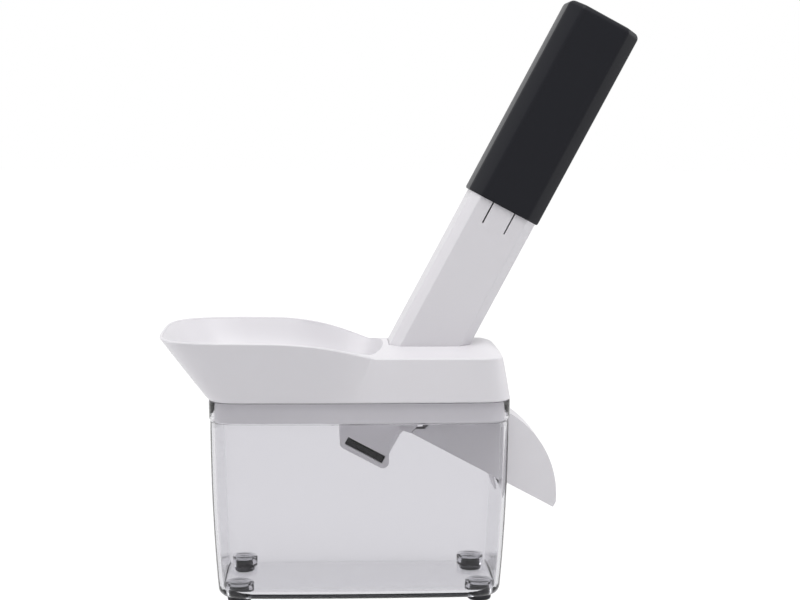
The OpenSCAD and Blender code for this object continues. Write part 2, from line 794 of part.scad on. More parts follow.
// The shaft's tube with its closed top end and the web that carries the rod.
module shaft_tube() {
    difference() {
        translate([0, 0, -60]) linear_extrude(height = shaft_end + 60)
            chamfered(shaft_w, shaft_d, shaft_chamfer);
        difference() {
            translate([0, 0, -61]) linear_extrude(height = shaft_end + 61 - shaft_wall)
                chamfered(inner_w, inner_d, shaft_chamfer - 1.2);
            translate([-shaft_w, -shaft_d, web_s]) cube([2 * shaft_w, 2 * shaft_d, web_t]);
        }
        translate([0, 0, web_s - 1]) cylinder(r = rod_r - 1.15, h = web_t + 2, $fn = 48);
    }
}

// Everything of the shaft that is cut away below the deck.
module shaft_below() {
    big = 120;
    difference() {
        on_axis() translate([-big / 2, -big / 2, -big - 20]) cube([big, big, big + 60]);
        translate([-big, -big, hidden_end_z]) cube([2 * big, 2 * big, big]);
        on_axis() translate([-shaft_w, -shaft_d, tongue_s])
            cube([shaft_w + tongue_right, 2 * shaft_d, 60]);
    }
}

module snap_slits() {
    for (side = [-1, 1]) translate([side * slit_u - slit_w / 2, -shaft_d, slit_start])
        cube([slit_w, shaft_d, slit_end - slit_start]);
    translate([-slit_u, -shaft_d, slit_end - slit_w]) cube([2 * slit_u, shaft_d, slit_w]);
}

module handle_shaft() {
    color(abs_white) difference() {
        on_axis() difference() {
            shaft_tube();
            intersection() {
                snap_slits();
                translate([-shaft_w, -shaft_d, 0]) cube([2 * shaft_w, shaft_d / 2 + shaft_wall + 1, 200]);
            }
        }
        shaft_below();
    }
}

grip_w = shaft_w + grip_extra;
grip_d = shaft_d + grip_extra;
grip_chamfer = 6.5;
grip_gap = 0.1;
grip_round = 3.2;
grip_edge_h = 1.2;
grip_edge_in = 0.7;

module grip_slab(inset, s, h) {
    translate([0, 0, s]) linear_extrude(height = h)
        chamfered(grip_w - 2 * inset, grip_d - 2 * inset, grip_chamfer - inset * 0.6);
}

module handle_grip() {
    color(charcoal) on_axis() difference() {
        hull() {
            grip_slab(0.5, grip_start, 0.4);
            grip_slab(0, grip_start + 0.6, grip_end - grip_start - grip_round - 0.6);
            grip_slab(grip_edge_in, grip_end - grip_edge_h - 0.1, 0.1);
            grip_slab(2.9, grip_end - 0.1, 0.1);
        }
        translate([0, 0, grip_start - 1]) linear_extrude(height = shaft_end - grip_start + 1)
            chamfered(shaft_w + 2 * grip_gap, shaft_d + 2 * grip_gap, shaft_chamfer);
    }
}

module plunger_rod() {
    color(natural) on_axis() difference() {
        union() {
            translate([0, 0, rod_start_s]) cylinder(r = rod_r, h = web_s - rod_start_s, $fn = 48);
            translate([0, 0, web_s - 1]) cylinder(r = rod_r - 1.2, h = web_t + 7, $fn = 48);
        }
        translate([0, 0, rod_start_s - 1]) cylinder(r = pin_r, h = 16, $fn = 48);
        translate([0, 0, rod_start_s + dowel_up]) rotate([90, 0, 0])
            cylinder(r = dowel_r, h = 30, center = true, $fn = 32);
        translate([0, 0, web_s + web_t]) difference() {
            cylinder(r = rod_r, h = clip_t, $fn = 48);
            cylinder(r = clip_r, h = clip_t, $fn = 48);
        }
    }
}

dowel_up = 7;
dowel_r = 1;
clip_t = 1;
clip_r = 3.2;

module pin_dowel() {
    color(steel) on_axis() translate([0, 0, rod_start_s + dowel_up]) rotate([90, 0, 0])
        cylinder(r = dowel_r, h = 2 * rod_r - 0.6, center = true, $fn = 32);
}

module rod_clip() {
    color(steel) on_axis() translate([0, 0, web_s + web_t]) difference() {
        cylinder(r = 6.4, h = clip_t, $fn = 48);
        translate([0, 0, -1]) cylinder(r = clip_r, h = clip_t + 2, $fn = 48);
        translate([-1.6, 0, -1]) cube([3.2, 10, clip_t + 2]);
    }
}

// Round steel pin whose head has four teeth round a hollow.
module pitting_pin() {
    head_top = stripper_s - 0.3;
    color(steel) on_axis() difference() {
        union() {
            translate([0, 0, head_top - 1]) cylinder(r = pin_r,
                h = rod_start_s + 14 - head_top + 1, $fn = 48);
            translate([0, 0, pin_tip_s]) cylinder(r = pin_head_r, h = head_top - pin_tip_s - 0.8, $fn = 48);
            translate([0, 0, head_top - 0.81]) cylinder(r1 = pin_head_r, r2 = pin_r + 0.3,
                h = 0.81, $fn = 48);
        }
        translate([0, 0, pin_tip_s - 1]) cylinder(r = 2.4, h = 3, $fn = 40);
        for (a = [0, 60, 120]) rotate([0, 0, a]) translate([-6, -0.8, pin_tip_s - 1])
            cube([12, 1.6, 2.6]);
        translate([0, 0, rod_start_s + dowel_up]) rotate([90, 0, 0])
            cylinder(r = dowel_r, h = 30, center = true, $fn = 32);
    }
}

// ---- The whole pitter -------------------------------------------------------

reach_right = axis_x + (grip_end - grip_edge_h) * sin(lean)
    + (grip_w / 2 - grip_edge_in) * cos(lean);
middle_x = (reach_right - hopper_reach) / 2;

// The pitter's outline is centred over the origin.
module place() {
    translate([-middle_x, 0, 0]) children();
}

place() stone_container();
place() foot_at(-foot_x, -foot_y);  // foot_front_left
place() foot_at(foot_x, -foot_y);  // foot_front_right
place() foot_at(-foot_x, foot_y);  // foot_back_left
place() foot_at(foot_x, foot_y);  // foot_back_right
place() housing();
place() pitting_bracket();
place() bracket_screws();
place() chute();
place() chute_screws();
place() stripper();
place() stripper_screws();
place() spring_washer();
place() return_spring();
place() gasket();
place() handle_shaft();
place() handle_grip();
place() plunger_rod();
place() pitting_pin();
place() pin_dowel();
place() rod_clip();
place() spring_cap();
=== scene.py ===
"""Looks of a cherry pitter with a push handle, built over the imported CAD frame.

Shapes are written in millimetres about the drawing's centre under the
stone container, and are set down in the frame, in metres, when a mesh is made.
"""

from __future__ import annotations

import json
import logging
import math
import sys
from dataclasses import dataclass, field
from enum import Enum
from typing import Iterable, Sequence

import bmesh
import bpy
import numpy as np
from mathutils import Matrix, Vector

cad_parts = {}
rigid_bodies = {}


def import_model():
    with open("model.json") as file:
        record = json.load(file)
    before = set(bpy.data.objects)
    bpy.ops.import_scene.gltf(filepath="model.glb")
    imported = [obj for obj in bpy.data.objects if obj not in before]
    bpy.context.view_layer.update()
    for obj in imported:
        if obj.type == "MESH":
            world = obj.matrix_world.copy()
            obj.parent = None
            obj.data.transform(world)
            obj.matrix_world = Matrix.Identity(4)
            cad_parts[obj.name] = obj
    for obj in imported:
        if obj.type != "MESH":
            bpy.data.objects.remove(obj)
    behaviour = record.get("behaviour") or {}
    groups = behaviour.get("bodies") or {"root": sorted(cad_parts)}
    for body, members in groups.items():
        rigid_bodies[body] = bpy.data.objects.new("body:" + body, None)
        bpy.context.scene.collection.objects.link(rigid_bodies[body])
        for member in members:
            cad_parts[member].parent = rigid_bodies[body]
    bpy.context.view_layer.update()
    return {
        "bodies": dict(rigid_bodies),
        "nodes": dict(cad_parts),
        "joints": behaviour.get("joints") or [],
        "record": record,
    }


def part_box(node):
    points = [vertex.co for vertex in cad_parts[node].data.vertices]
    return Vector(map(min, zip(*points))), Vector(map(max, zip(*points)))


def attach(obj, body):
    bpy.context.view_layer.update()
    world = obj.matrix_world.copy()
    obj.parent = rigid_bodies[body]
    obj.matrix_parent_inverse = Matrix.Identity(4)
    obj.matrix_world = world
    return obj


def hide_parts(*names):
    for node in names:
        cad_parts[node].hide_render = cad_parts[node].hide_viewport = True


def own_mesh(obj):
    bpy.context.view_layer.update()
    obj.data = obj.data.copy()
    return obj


log = logging.getLogger("cherry_pitter")

Colour = tuple[float, float, float]
Outline = Sequence[tuple[float, float]]
Thing = bpy.types.Object
Finish = bpy.types.Material
Socket = bpy.types.NodeSocket

MM = 0.001
PHOTO_WIDTH = 800
# How far the container's middle lies to the right of the drawing's centre, in millimetres.
CONTAINER_SHIFT = 1.0
# Height in the frame of the six screws' seats under the bracket's and the chute's flanges.
SCREW_SEAT_Z = 88.25
# Angles of the rings that round a moulded edge.
EDGE_TURN = np.linspace(0.26, math.pi / 2, 6)


class Body(str, Enum):
    """The rigid bodies of the frame that pieces ride on."""

    BASE = "base"
    UPPER = "upper"
    HANDLE = "handle"


class Slot(str, Enum):
    """The record's material slots."""

    CLEAR = "clear"
    WHITE = "white"
    RUBBER = "rubber"
    CHARCOAL = "charcoal"
    NATURAL = "natural"
    STEEL = "steel"


# ---- Materials ----


class NodeSheet:
    """A small helper that writes the nodes of one material."""

    def __init__(self, name: str) -> None:
        """Starts an empty material.

        Args:
            name: The material's name.
        """
        self.material = bpy.data.materials.new(name)
        self.material.use_nodes = True
        self.tree = self.material.node_tree
        self.tree.nodes.clear()
        self.output = self.tree.nodes.new("ShaderNodeOutputMaterial")

    def add(self, kind: str, **values: object) -> bpy.types.Node:
        """Adds a node and sets its properties or its input sockets.

        Args:
            kind: The node's type name.
            **values: Property values, or input values by socket name with
                spaces written as underscores.

        Returns:
            The new node.
        """
        node = self.tree.nodes.new(kind)
        for key, value in values.items():
            if hasattr(node, key):
                setattr(node, key, value)
            else:
                node.inputs[key.replace("_", " ")].default_value = value
        return node

    def principled(self, colour: Colour | None = None, **values: object) -> bpy.types.Node:
        """Adds the main shader.

        Args:
            colour: Its base colour, where that is uniform.
            **values: Its other input values, as for add.

        Returns:
            The new node.
        """
        shader = self.add("ShaderNodeBsdfPrincipled", **values)
        if colour:
            shader.inputs["Base Color"].default_value = (*colour, 1.0)
        return shader

    def link(self, source: Socket, target: Socket) -> None:
        """Joins an output socket to an input socket."""
        self.tree.links.new(source, target)

    def noise(self, scale: float, detail: float = 2.0) -> Socket:
        """Adds noise on Object coordinates.

        Args:
            scale: Cells per metre.
            detail: Octaves of the noise.

        Returns:
            The noise's value socket.
        """
        place = self.add("ShaderNodeTexCoord")
        noise = self.add("ShaderNodeTexNoise", Scale=scale, Detail=detail)
        self.link(place.outputs["Object"], noise.inputs["Vector"])
        return noise.outputs["Fac"]

    def spread(self, value: Socket, low: float, high: float) -> Socket:
        """Maps a 0 to 1 value onto a narrower range.

        Args:
            value: The socket that gives the value.
            low: The result at 0.
            high: The result at 1.

        Returns:
            The mapped value's socket.
        """
        ramp = self.add("ShaderNodeMapRange", To_Min=low, To_Max=high)
        self.link(value, ramp.inputs["Value"])
        return ramp.outputs["Result"]

    def bump(self, height: Socket, strength: float,
             distance: float) -> Socket:
        """Turns a height into a bent normal.

        Args:
            height: The height's socket.
            strength: How much of it shows, 0 to 1.
            distance: The height of 1, in metres.

        Returns:
            The normal's socket.
        """
        node = self.add("ShaderNodeBump", Strength=strength, Distance=distance)
        self.link(height, node.inputs["Height"])
        return node.outputs["Normal"]

    def finish(self, surface: Socket) -> Finish:
        """Ends the material with a surface and returns it."""
        self.link(surface, self.output.inputs["Surface"])
        return self.material


@dataclass(frozen=True)
class Moulding:
    """An opaque moulded plastic or rubber with a fine moulded grain."""

    name: str
    colour: Colour
    colour_drift: float
    roughness: float
    roughness_drift: float
    grain_scale: float
    grain_depth: float
    grain_strength: float
    specular: float = 0.5
    flow_scale: float = 14.0
    wear_scale: float = 70.0

    def material(self) -> Finish:
        """Builds the finish as a material.

        Returns:
            The new material.
        """
        sheet = NodeSheet(self.name)
        shader = sheet.principled(Specular_IOR_Level=self.specular)
        mix = sheet.add("ShaderNodeMix", data_type="RGBA")
        mix.inputs["A"].default_value = (*(c * (1 - self.colour_drift) for c in self.colour), 1.0)
        mix.inputs["B"].default_value = (*self.colour, 1.0)
        sheet.link(sheet.noise(self.flow_scale, 3.0), mix.inputs["Factor"])
        sheet.link(mix.outputs["Result"], shader.inputs["Base Color"])
        low, high = self.roughness - self.roughness_drift, self.roughness + self.roughness_drift
        wear = sheet.noise(self.wear_scale, 4.0)
        sheet.link(sheet.spread(wear, low, high), shader.inputs["Roughness"])
        grain = sheet.noise(self.grain_scale)
        sheet.link(sheet.bump(grain, self.grain_strength, self.grain_depth), shader.inputs["Normal"])
        return sheet.finish(shader.outputs["BSDF"])


@dataclass(frozen=True)
class ClearMoulding:
    """A clear, slightly grey moulded plastic.

    What is seen through it is bent and tinted. Light on its way to a matt
    surface passes straight through, so that the pieces inside are lit.
    """

    name: str = "clear_moulding"
    tint: Colour = (0.838, 0.832, 0.852)
    depth_colour: Colour = (0.38, 0.385, 0.42)
    depth_density: float = 62.0
    gloss: Colour = (0.35, 0.35, 0.35)
    passed: Colour = (0.98, 0.98, 0.98)
    bending: float = 1.49
    roughness: float = 0.03
    wear_scale: float = 60.0
    ripple_scale: float = 26.0
    ripple_strength: float = 0.08
    ripple_depth: float = 0.0006

    def material(self) -> Finish:
        """Builds the finish as a material.

        Returns:
            The new material.
        """
        sheet = NodeSheet(self.name)
        shader = sheet.principled(self.tint, Transmission_Weight=1.0, IOR=self.bending,
                                  Specular_Tint=(*self.gloss, 1.0))
        wear = sheet.noise(self.wear_scale, 3.0)
        sheet.link(sheet.spread(wear, self.roughness * 0.6, self.roughness * 1.4), shader.inputs["Roughness"])
        ripple = sheet.noise(self.ripple_scale, 1.0)
        sheet.link(sheet.bump(ripple, self.ripple_strength, self.ripple_depth), shader.inputs["Normal"])
        path = sheet.add("ShaderNodeLightPath")
        lit = sheet.add("ShaderNodeMath", operation="MAXIMUM")
        sheet.link(path.outputs["Is Shadow Ray"], lit.inputs[0])
        sheet.link(path.outputs["Is Diffuse Ray"], lit.inputs[1])
        clear = sheet.add("ShaderNodeBsdfTransparent", Color=(*self.passed, 1.0))
        mix = sheet.add("ShaderNodeMixShader")
        sheet.link(lit.outputs[0], mix.inputs["Fac"])
        sheet.link(shader.outputs["BSDF"], mix.inputs[1])
        sheet.link(clear.outputs["BSDF"], mix.inputs[2])
        seen = sheet.add("ShaderNodeMath", operation="MULTIPLY_ADD")
        seen.inputs[1].default_value = -self.depth_density
        seen.inputs[2].default_value = self.depth_density
        sheet.link(lit.outputs[0], seen.inputs[0])
        depth = sheet.add("ShaderNodeVolumeAbsorption", Color=(*self.depth_colour, 1.0))
        sheet.link(seen.outputs[0], depth.inputs["Density"])
        sheet.link(depth.outputs["Volume"], sheet.output.inputs["Volume"])
        return sheet.finish(mix.outputs["Shader"])


@dataclass(frozen=True)
class DrawnSteel:
    """Bright steel with fine marks from drawing or turning."""

    name: str = "drawn_steel"
    colour: Colour = (0.62, 0.62, 0.63)
    roughness: float = 0.26
    marks_scale: float = 420.0
    marks_strength: float = 0.12
    marks_depth: float = 0.00004

    def material(self) -> Finish:
        """Builds the finish as a material.

        Returns:
            The new material.
        """
        sheet = NodeSheet(self.name)
        shader = sheet.principled(self.colour, Metallic=1.0)
        marks = sheet.noise(self.marks_scale, 4.0)
        worn = sheet.spread(marks, self.roughness - 0.06, self.roughness + 0.1)
        sheet.link(worn, shader.inputs["Roughness"])
        sheet.link(sheet.bump(marks, self.marks_strength, self.marks_depth), shader.inputs["Normal"])
        return sheet.finish(shader.outputs["BSDF"])


WHITE_MOULDING = Moulding("white_moulding", (0.72, 0.705, 0.735), 0.012, 0.36, 0.04,
                          2600.0, 0.00002, 0.10)
CHARCOAL_MOULDING = Moulding("charcoal_moulding", (0.013, 0.0135, 0.0175), 0.10, 0.40, 0.05,
                             1900.0, 0.00005, 0.30, specular=0.13)
DARK_RUBBER = Moulding("dark_rubber", (0.025, 0.025, 0.028), 0.12, 0.60, 0.06,
                       1500.0, 0.00006, 0.35, specular=0.15)
BEARING_PLASTIC = Moulding("bearing_plastic", (0.72, 0.73, 0.71), 0.03, 0.46, 0.05,
                           1700.0, 0.00003, 0.18)

# Which of the record's slots each finish stands for, by the material's name.
SLOT_OF_FINISH: dict[str, Slot] = {
    "clear_moulding": Slot.CLEAR, "white_moulding": Slot.WHITE, "dark_rubber": Slot.RUBBER,
    "charcoal_moulding": Slot.CHARCOAL, "bearing_plastic": Slot.NATURAL, "drawn_steel": Slot.STEEL,
}


@dataclass
class FinishShelf:
    """All finishes of the pitter, made once."""

    white: Finish = field(default_factory=WHITE_MOULDING.material)
    charcoal: Finish = field(default_factory=CHARCOAL_MOULDING.material)
    rubber: Finish = field(default_factory=DARK_RUBBER.material)
    bearing: Finish = field(default_factory=BEARING_PLASTIC.material)
    clear: Finish = field(default_factory=lambda: ClearMoulding().material())
    steel: Finish = field(default_factory=lambda: DrawnSteel().material())


# ---- Mesh work ----


def loft_faces(rows: int, count: int) -> list[list[int]]:
    """Faces through closed rings of equal point counts, with the first and last ring filled.

    Args:
        rows: How many rings.
        count: Points in each ring.

    Returns:
        The faces, outward when the rings run anticlockwise from above and rise.
    """
    faces = [[at + i, at + (i + 1) % count, at + count + (i + 1) % count, at + count + i]
             for at in range(0, (rows - 1) * count, count) for i in range(count)]
    return faces + [list(range(count))[::-1], [(rows - 1) * count + i for i in range(count)]]


def whole_ring(half: np.ndarray) -> np.ndarray:
    """A closed ring from its half with Y >= 0, which runs from +X round to -X."""
    mirrored = half[1:-1][::-1] * np.array([1.0, -1.0, 1.0])
    return np.vstack([half, mirrored])


def arc(x: float, y: float, radius: float, angles: Iterable[float]) -> list[tuple[float, float]]:
    """Points of an arc about a centre."""
    return [(x + radius * math.cos(a), y + radius * math.sin(a)) for a in angles]


def relaxed(ring: np.ndarray, passes: int = 3) -> np.ndarray:
    """A closed ring whose corners are rounded by averaging neighbours.

    Args:
        ring: The ring's points.
        passes: How often it is averaged.

    Returns:
        The new ring.
    """
    for _ in range(passes):
        ring = 0.5 * ring + 0.25 * (np.roll(ring, 1, axis=0) + np.roll(ring, -1, axis=0))
    return ring


class Workbench:
    """Makes meshes in the frame from points in millimetres, and refines copies of CAD nodes."""

    def __init__(self, frame: dict) -> None:
        """Finds the drawing's centre, which all shapes are given about.
        """
        low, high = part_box("stone_container")
        self.centre_x = (low[0] + high[0]) / 2 - CONTAINER_SHIFT * MM
        self.nodes: dict[str, Thing] = frame["nodes"]

    def place(self, points: np.ndarray) -> np.ndarray:
        """Millimetres about the drawing's centre to metres in the frame."""
        return np.asarray(points, float) * MM + np.array([self.centre_x, 0.0, 0.0])

    def from_faces(self, name: str, points: np.ndarray, faces: Iterable[Sequence[int]],
                   material: Finish, crease_deg: float = 38.0) -> Thing:
        """Makes a piece from points and faces.

        Args:
            name: The piece's name.
            points: One row of X, Y and Z for each vertex, in millimetres.
            faces: Vertex numbers of each face, anticlockwise from outside.
            material: The finish.
            crease_deg: Edges sharper than this stay sharp.

        Returns:
            The new object, at the origin.
        """
        mesh = bpy.data.meshes.new(name)
        mesh.from_pydata(self.place(points).tolist(), [], [list(map(int, f)) for f in faces])
        mesh.validate()
        mesh.materials.append(material)
        self.smooth(mesh, crease_deg)
        return self.shown(name, mesh)

    @staticmethod
    def shown(name: str, mesh: bpy.types.Mesh) -> Thing:
        """Puts a mesh into the scene as an object."""
        thing = bpy.data.objects.new(name, mesh)
        bpy.context.scene.collection.objects.link(thing)
        return thing

    def solid(self, name: str, rings: Sequence[np.ndarray], material: Finish,
              crease_deg: float = 38.0) -> Thing:
        """Makes a closed solid through rings.

        Args:
            name: The piece's name.
            rings: Closed rings of equal point counts, from the bottom up.
            material: The finish.
            crease_deg: Edges sharper than this stay sharp.

        Returns:
            The new object.
        """
        faces = loft_faces(len(rings), len(rings[0]))
        return self.from_faces(name, np.vstack(rings), faces, material, crease_deg)

    def turned(self, name: str, outline: Outline, places: Outline, material: Finish,
               count: int = 48, crease_deg: float = 38.0) -> Thing:
        """Makes equal turned solids about upright axes, in one mesh.

        Args:
            name: The piece's name.
            outline: Radius and height of the outline, from the bottom up.
            places: X and Y of each axis.
            material: The finish.
            count: Steps round the axis.
            crease_deg: Edges sharper than this stay sharp.

        Returns:
            The new object.
        """
        turn = np.linspace(0, 2 * math.pi, count, endpoint=False)
        one = np.vstack([np.column_stack([r * np.cos(turn), r * np.sin(turn), np.full(count, z)])
                         for r, z in outline])
        points = np.vstack([one + np.array([x, y, 0.0]) for x, y in places])
        faces = [[i + k * len(one) for i in face] for k in range(len(places))
                 for face in loft_faces(len(outline), count)]
        return self.from_faces(name, points, faces, material, crease_deg)

    @staticmethod
    def smooth(mesh: bpy.types.Mesh, crease_deg: float) -> None:
        """Shades a mesh smooth, apart from edges sharper than the angle."""
        mesh.shade_smooth()
        mesh.set_sharp_from_angle(angle=math.radians(crease_deg))

    def baked(self, thing: Thing) -> Thing:
        """Puts an object's modifiers into its mesh and removes them.

        Args:
            thing: The object.

        Returns:
            The same object.
        """
        graph = bpy.context.evaluated_depsgraph_get()
        mesh = bpy.data.meshes.new_from_object(thing.evaluated_get(graph), depsgraph=graph)
        thing.modifiers.clear()
        thing.data = mesh
        return thing

    def applied(self, thing: Thing, kind: str, **settings: object) -> Thing:
        """Runs one modifier with its settings on an object and keeps the result."""
        modifier = thing.modifiers.new(kind.lower(), kind)
        for key, value in settings.items():
            setattr(modifier, key, value)
        return self.baked(thing)

    def cut(self, thing: Thing, tools: Sequence[Thing],
            operation: str = "DIFFERENCE") -> Thing:
        """Takes tool solids away from an object, or adds them, and deletes the tools.

        Args:
            thing: The object that is cut.
            tools: The solids that cut it.
            operation: Blender's name of the boolean operation.

        Returns:
            The cut object.
        """
        for tool in tools:
            modifier = thing.modifiers.new("cut", "BOOLEAN")
            modifier.operation = operation
            modifier.object = tool
            modifier.solver = "EXACT"
        self.baked(thing)
        for tool in tools:
            bpy.data.objects.remove(tool)
        return thing

    def rounded(self, thing: Thing, width: float, segments: int,
                angle_deg: float = 34.0) -> Thing:
        """Rounds an object's sharp edges.

        Args:
            thing: The object.
            width: The rounding's width, in millimetres.
            segments: Steps across it.
            angle_deg: Edges sharper than this are rounded.

        Returns:
            The same object.
        """
        self.applied(thing, "BEVEL", width=width * MM, segments=segments, limit_method="ANGLE",
                     angle_limit=math.radians(angle_deg), miter_outer="MITER_ARC", use_clamp_overlap=True)
        return self.flattened(thing)

    def flattened(self, thing: Thing) -> Thing:
        """Shades an object so that its large faces look flat between rounded edges."""
        self.smooth(thing.data, 30.0)
        return self.applied(thing, "WEIGHTED_NORMAL", keep_sharp=True, weight=80)

    def copied(self, node: str, material: Finish) -> Thing:
        """Copies a CAD node as clean faces, without the diagonals of its triangles.

        Args:
            node: The CAD node's name.
            material: The finish.

        Returns:
            The copy.
        """
        mesh = self.nodes[node].data.copy()
        mesh.name = f"{node}_moulded"
        mesh.materials.clear()
        mesh.materials.append(material)
        return self.cleaned(self.shown(mesh.name, mesh))

    @staticmethod
    def cleaned(thing: Thing) -> Thing:
        """Joins an object's flat triangles into whole faces."""
        work = bmesh.new()
        work.from_mesh(thing.data)
        bmesh.ops.remove_doubles(work, verts=work.verts, dist=2e-6)
        bmesh.ops.dissolve_limit(work, angle_limit=math.radians(0.6), verts=work.verts, edges=work.edges)
        work.to_mesh(thing.data)
        work.free()
        return thing

    def refined(self, node: str, material: Finish, width: float, segments: int = 2,
                body: Body = Body.UPPER) -> Thing:
        """Copies a CAD node as clean faces with rounded edges, in place of the node.

        Args:
            node: The CAD node's name.
            material: The finish.
            width: Width of the rounded edges, in millimetres.
            segments: Steps across a rounded edge.
            body: The body that the piece rides on.

        Returns:
            The new piece.
        """
        return settle(self.rounded(self.copied(node, material), width, segments), body, node)


def settle(thing: Thing, body: Body, *nodes: str) -> Thing:
    """Lets a finished piece ride on its body and stand for CAD nodes, and logs the record's slot that its
    finish stands for.

    Args:
        thing: The piece.
        body: The body that it rides on.
        *nodes: The CAD nodes that it stands for.

    Returns:
        The piece.
    """
    slot = SLOT_OF_FINISH[thing.data.materials[0].name]
    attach(thing, body.value)
    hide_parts(*nodes)
    log.info("%s: %d faces, %s, on %s, for %s", thing.name, len(thing.data.polygons), slot.value,
             body.value, ", ".join(nodes))
    return thing


def joined(name: str, things: Sequence[Thing]) -> Thing:
    """Joins meshes that share one finish into the first one.

    Args:
        name: The joined piece's name.
        things: The objects, the main one first.

    Returns:
        The joined object.
    """
    main_thing = things[0]
    work = bmesh.new()
    for thing in things:
        work.from_mesh(thing.data)
    work.to_mesh(main_thing.data)
    work.free()
    for thing in things[1:]:
        bpy.data.objects.remove(thing)
    main_thing.name = main_thing.data.name = name
    return main_thing


@dataclass
class SubAssembly:
    """A part of the pitter, made on the workbench in the shelf's finishes."""

    bench: Workbench
    shelf: FinishShelf


# ---- Outline that the container and the housing share ----

# Points in the right end, right corner, both stretches of the long side, left corner and left end.
PLAN_STEPS = (12, 20, 20, 30, 34, 16)


@dataclass(frozen=True)
class BoxPlan:
    """Rectangle with round corners and slightly bowed sides, in plan."""

    right: float
    left: float
    half_depth: float
    corner: float
    bow: float = 1.2

    def ring(self, z: float, split: float) -> np.ndarray:
        """The outline at a height.

        Args:
            z: The height.
            split: Where the long side's two stretches meet, along X.

        Returns:
            The closed ring, with its corners a little relaxed.
        """
        yc = self.half_depth - self.bow - self.corner
        xr = self.right - self.bow - self.corner
        xl = self.left - self.bow - self.corner
        end, bend, long_a, long_b, bend_left, end_left = PLAN_STEPS
        pts: list[tuple[float, float]] = []
        pts += [(self.right - self.bow * s * s, yc * s) for s in np.arange(end) / end]
        pts += arc(xr, yc, self.corner, np.linspace(0, math.pi / 2, bend))
        stop = split + (-xl - split) * 6 / 7
        xs = np.concatenate([xr + (split - xr) * np.arange(1, long_a + 1) / long_a,
                             split + (stop - split) * np.arange(1, long_b + 1) / long_b])
        middle, span = (xr - xl) / 2, (xr + xl) / 2
        pts += [(x, self.half_depth - self.bow * ((x - middle) / span) ** 2) for x in xs]
        pts += arc(-xl, yc, self.corner, np.linspace(math.pi / 2, math.pi, bend_left))
        pts += [(-self.left + self.bow * s * s, yc * s) for s in 1 - np.arange(1, end_left + 1) / end_left]
        return relaxed(whole_ring(np.array([(x, y, z) for x, y in pts])))


# ---- Stone container ----


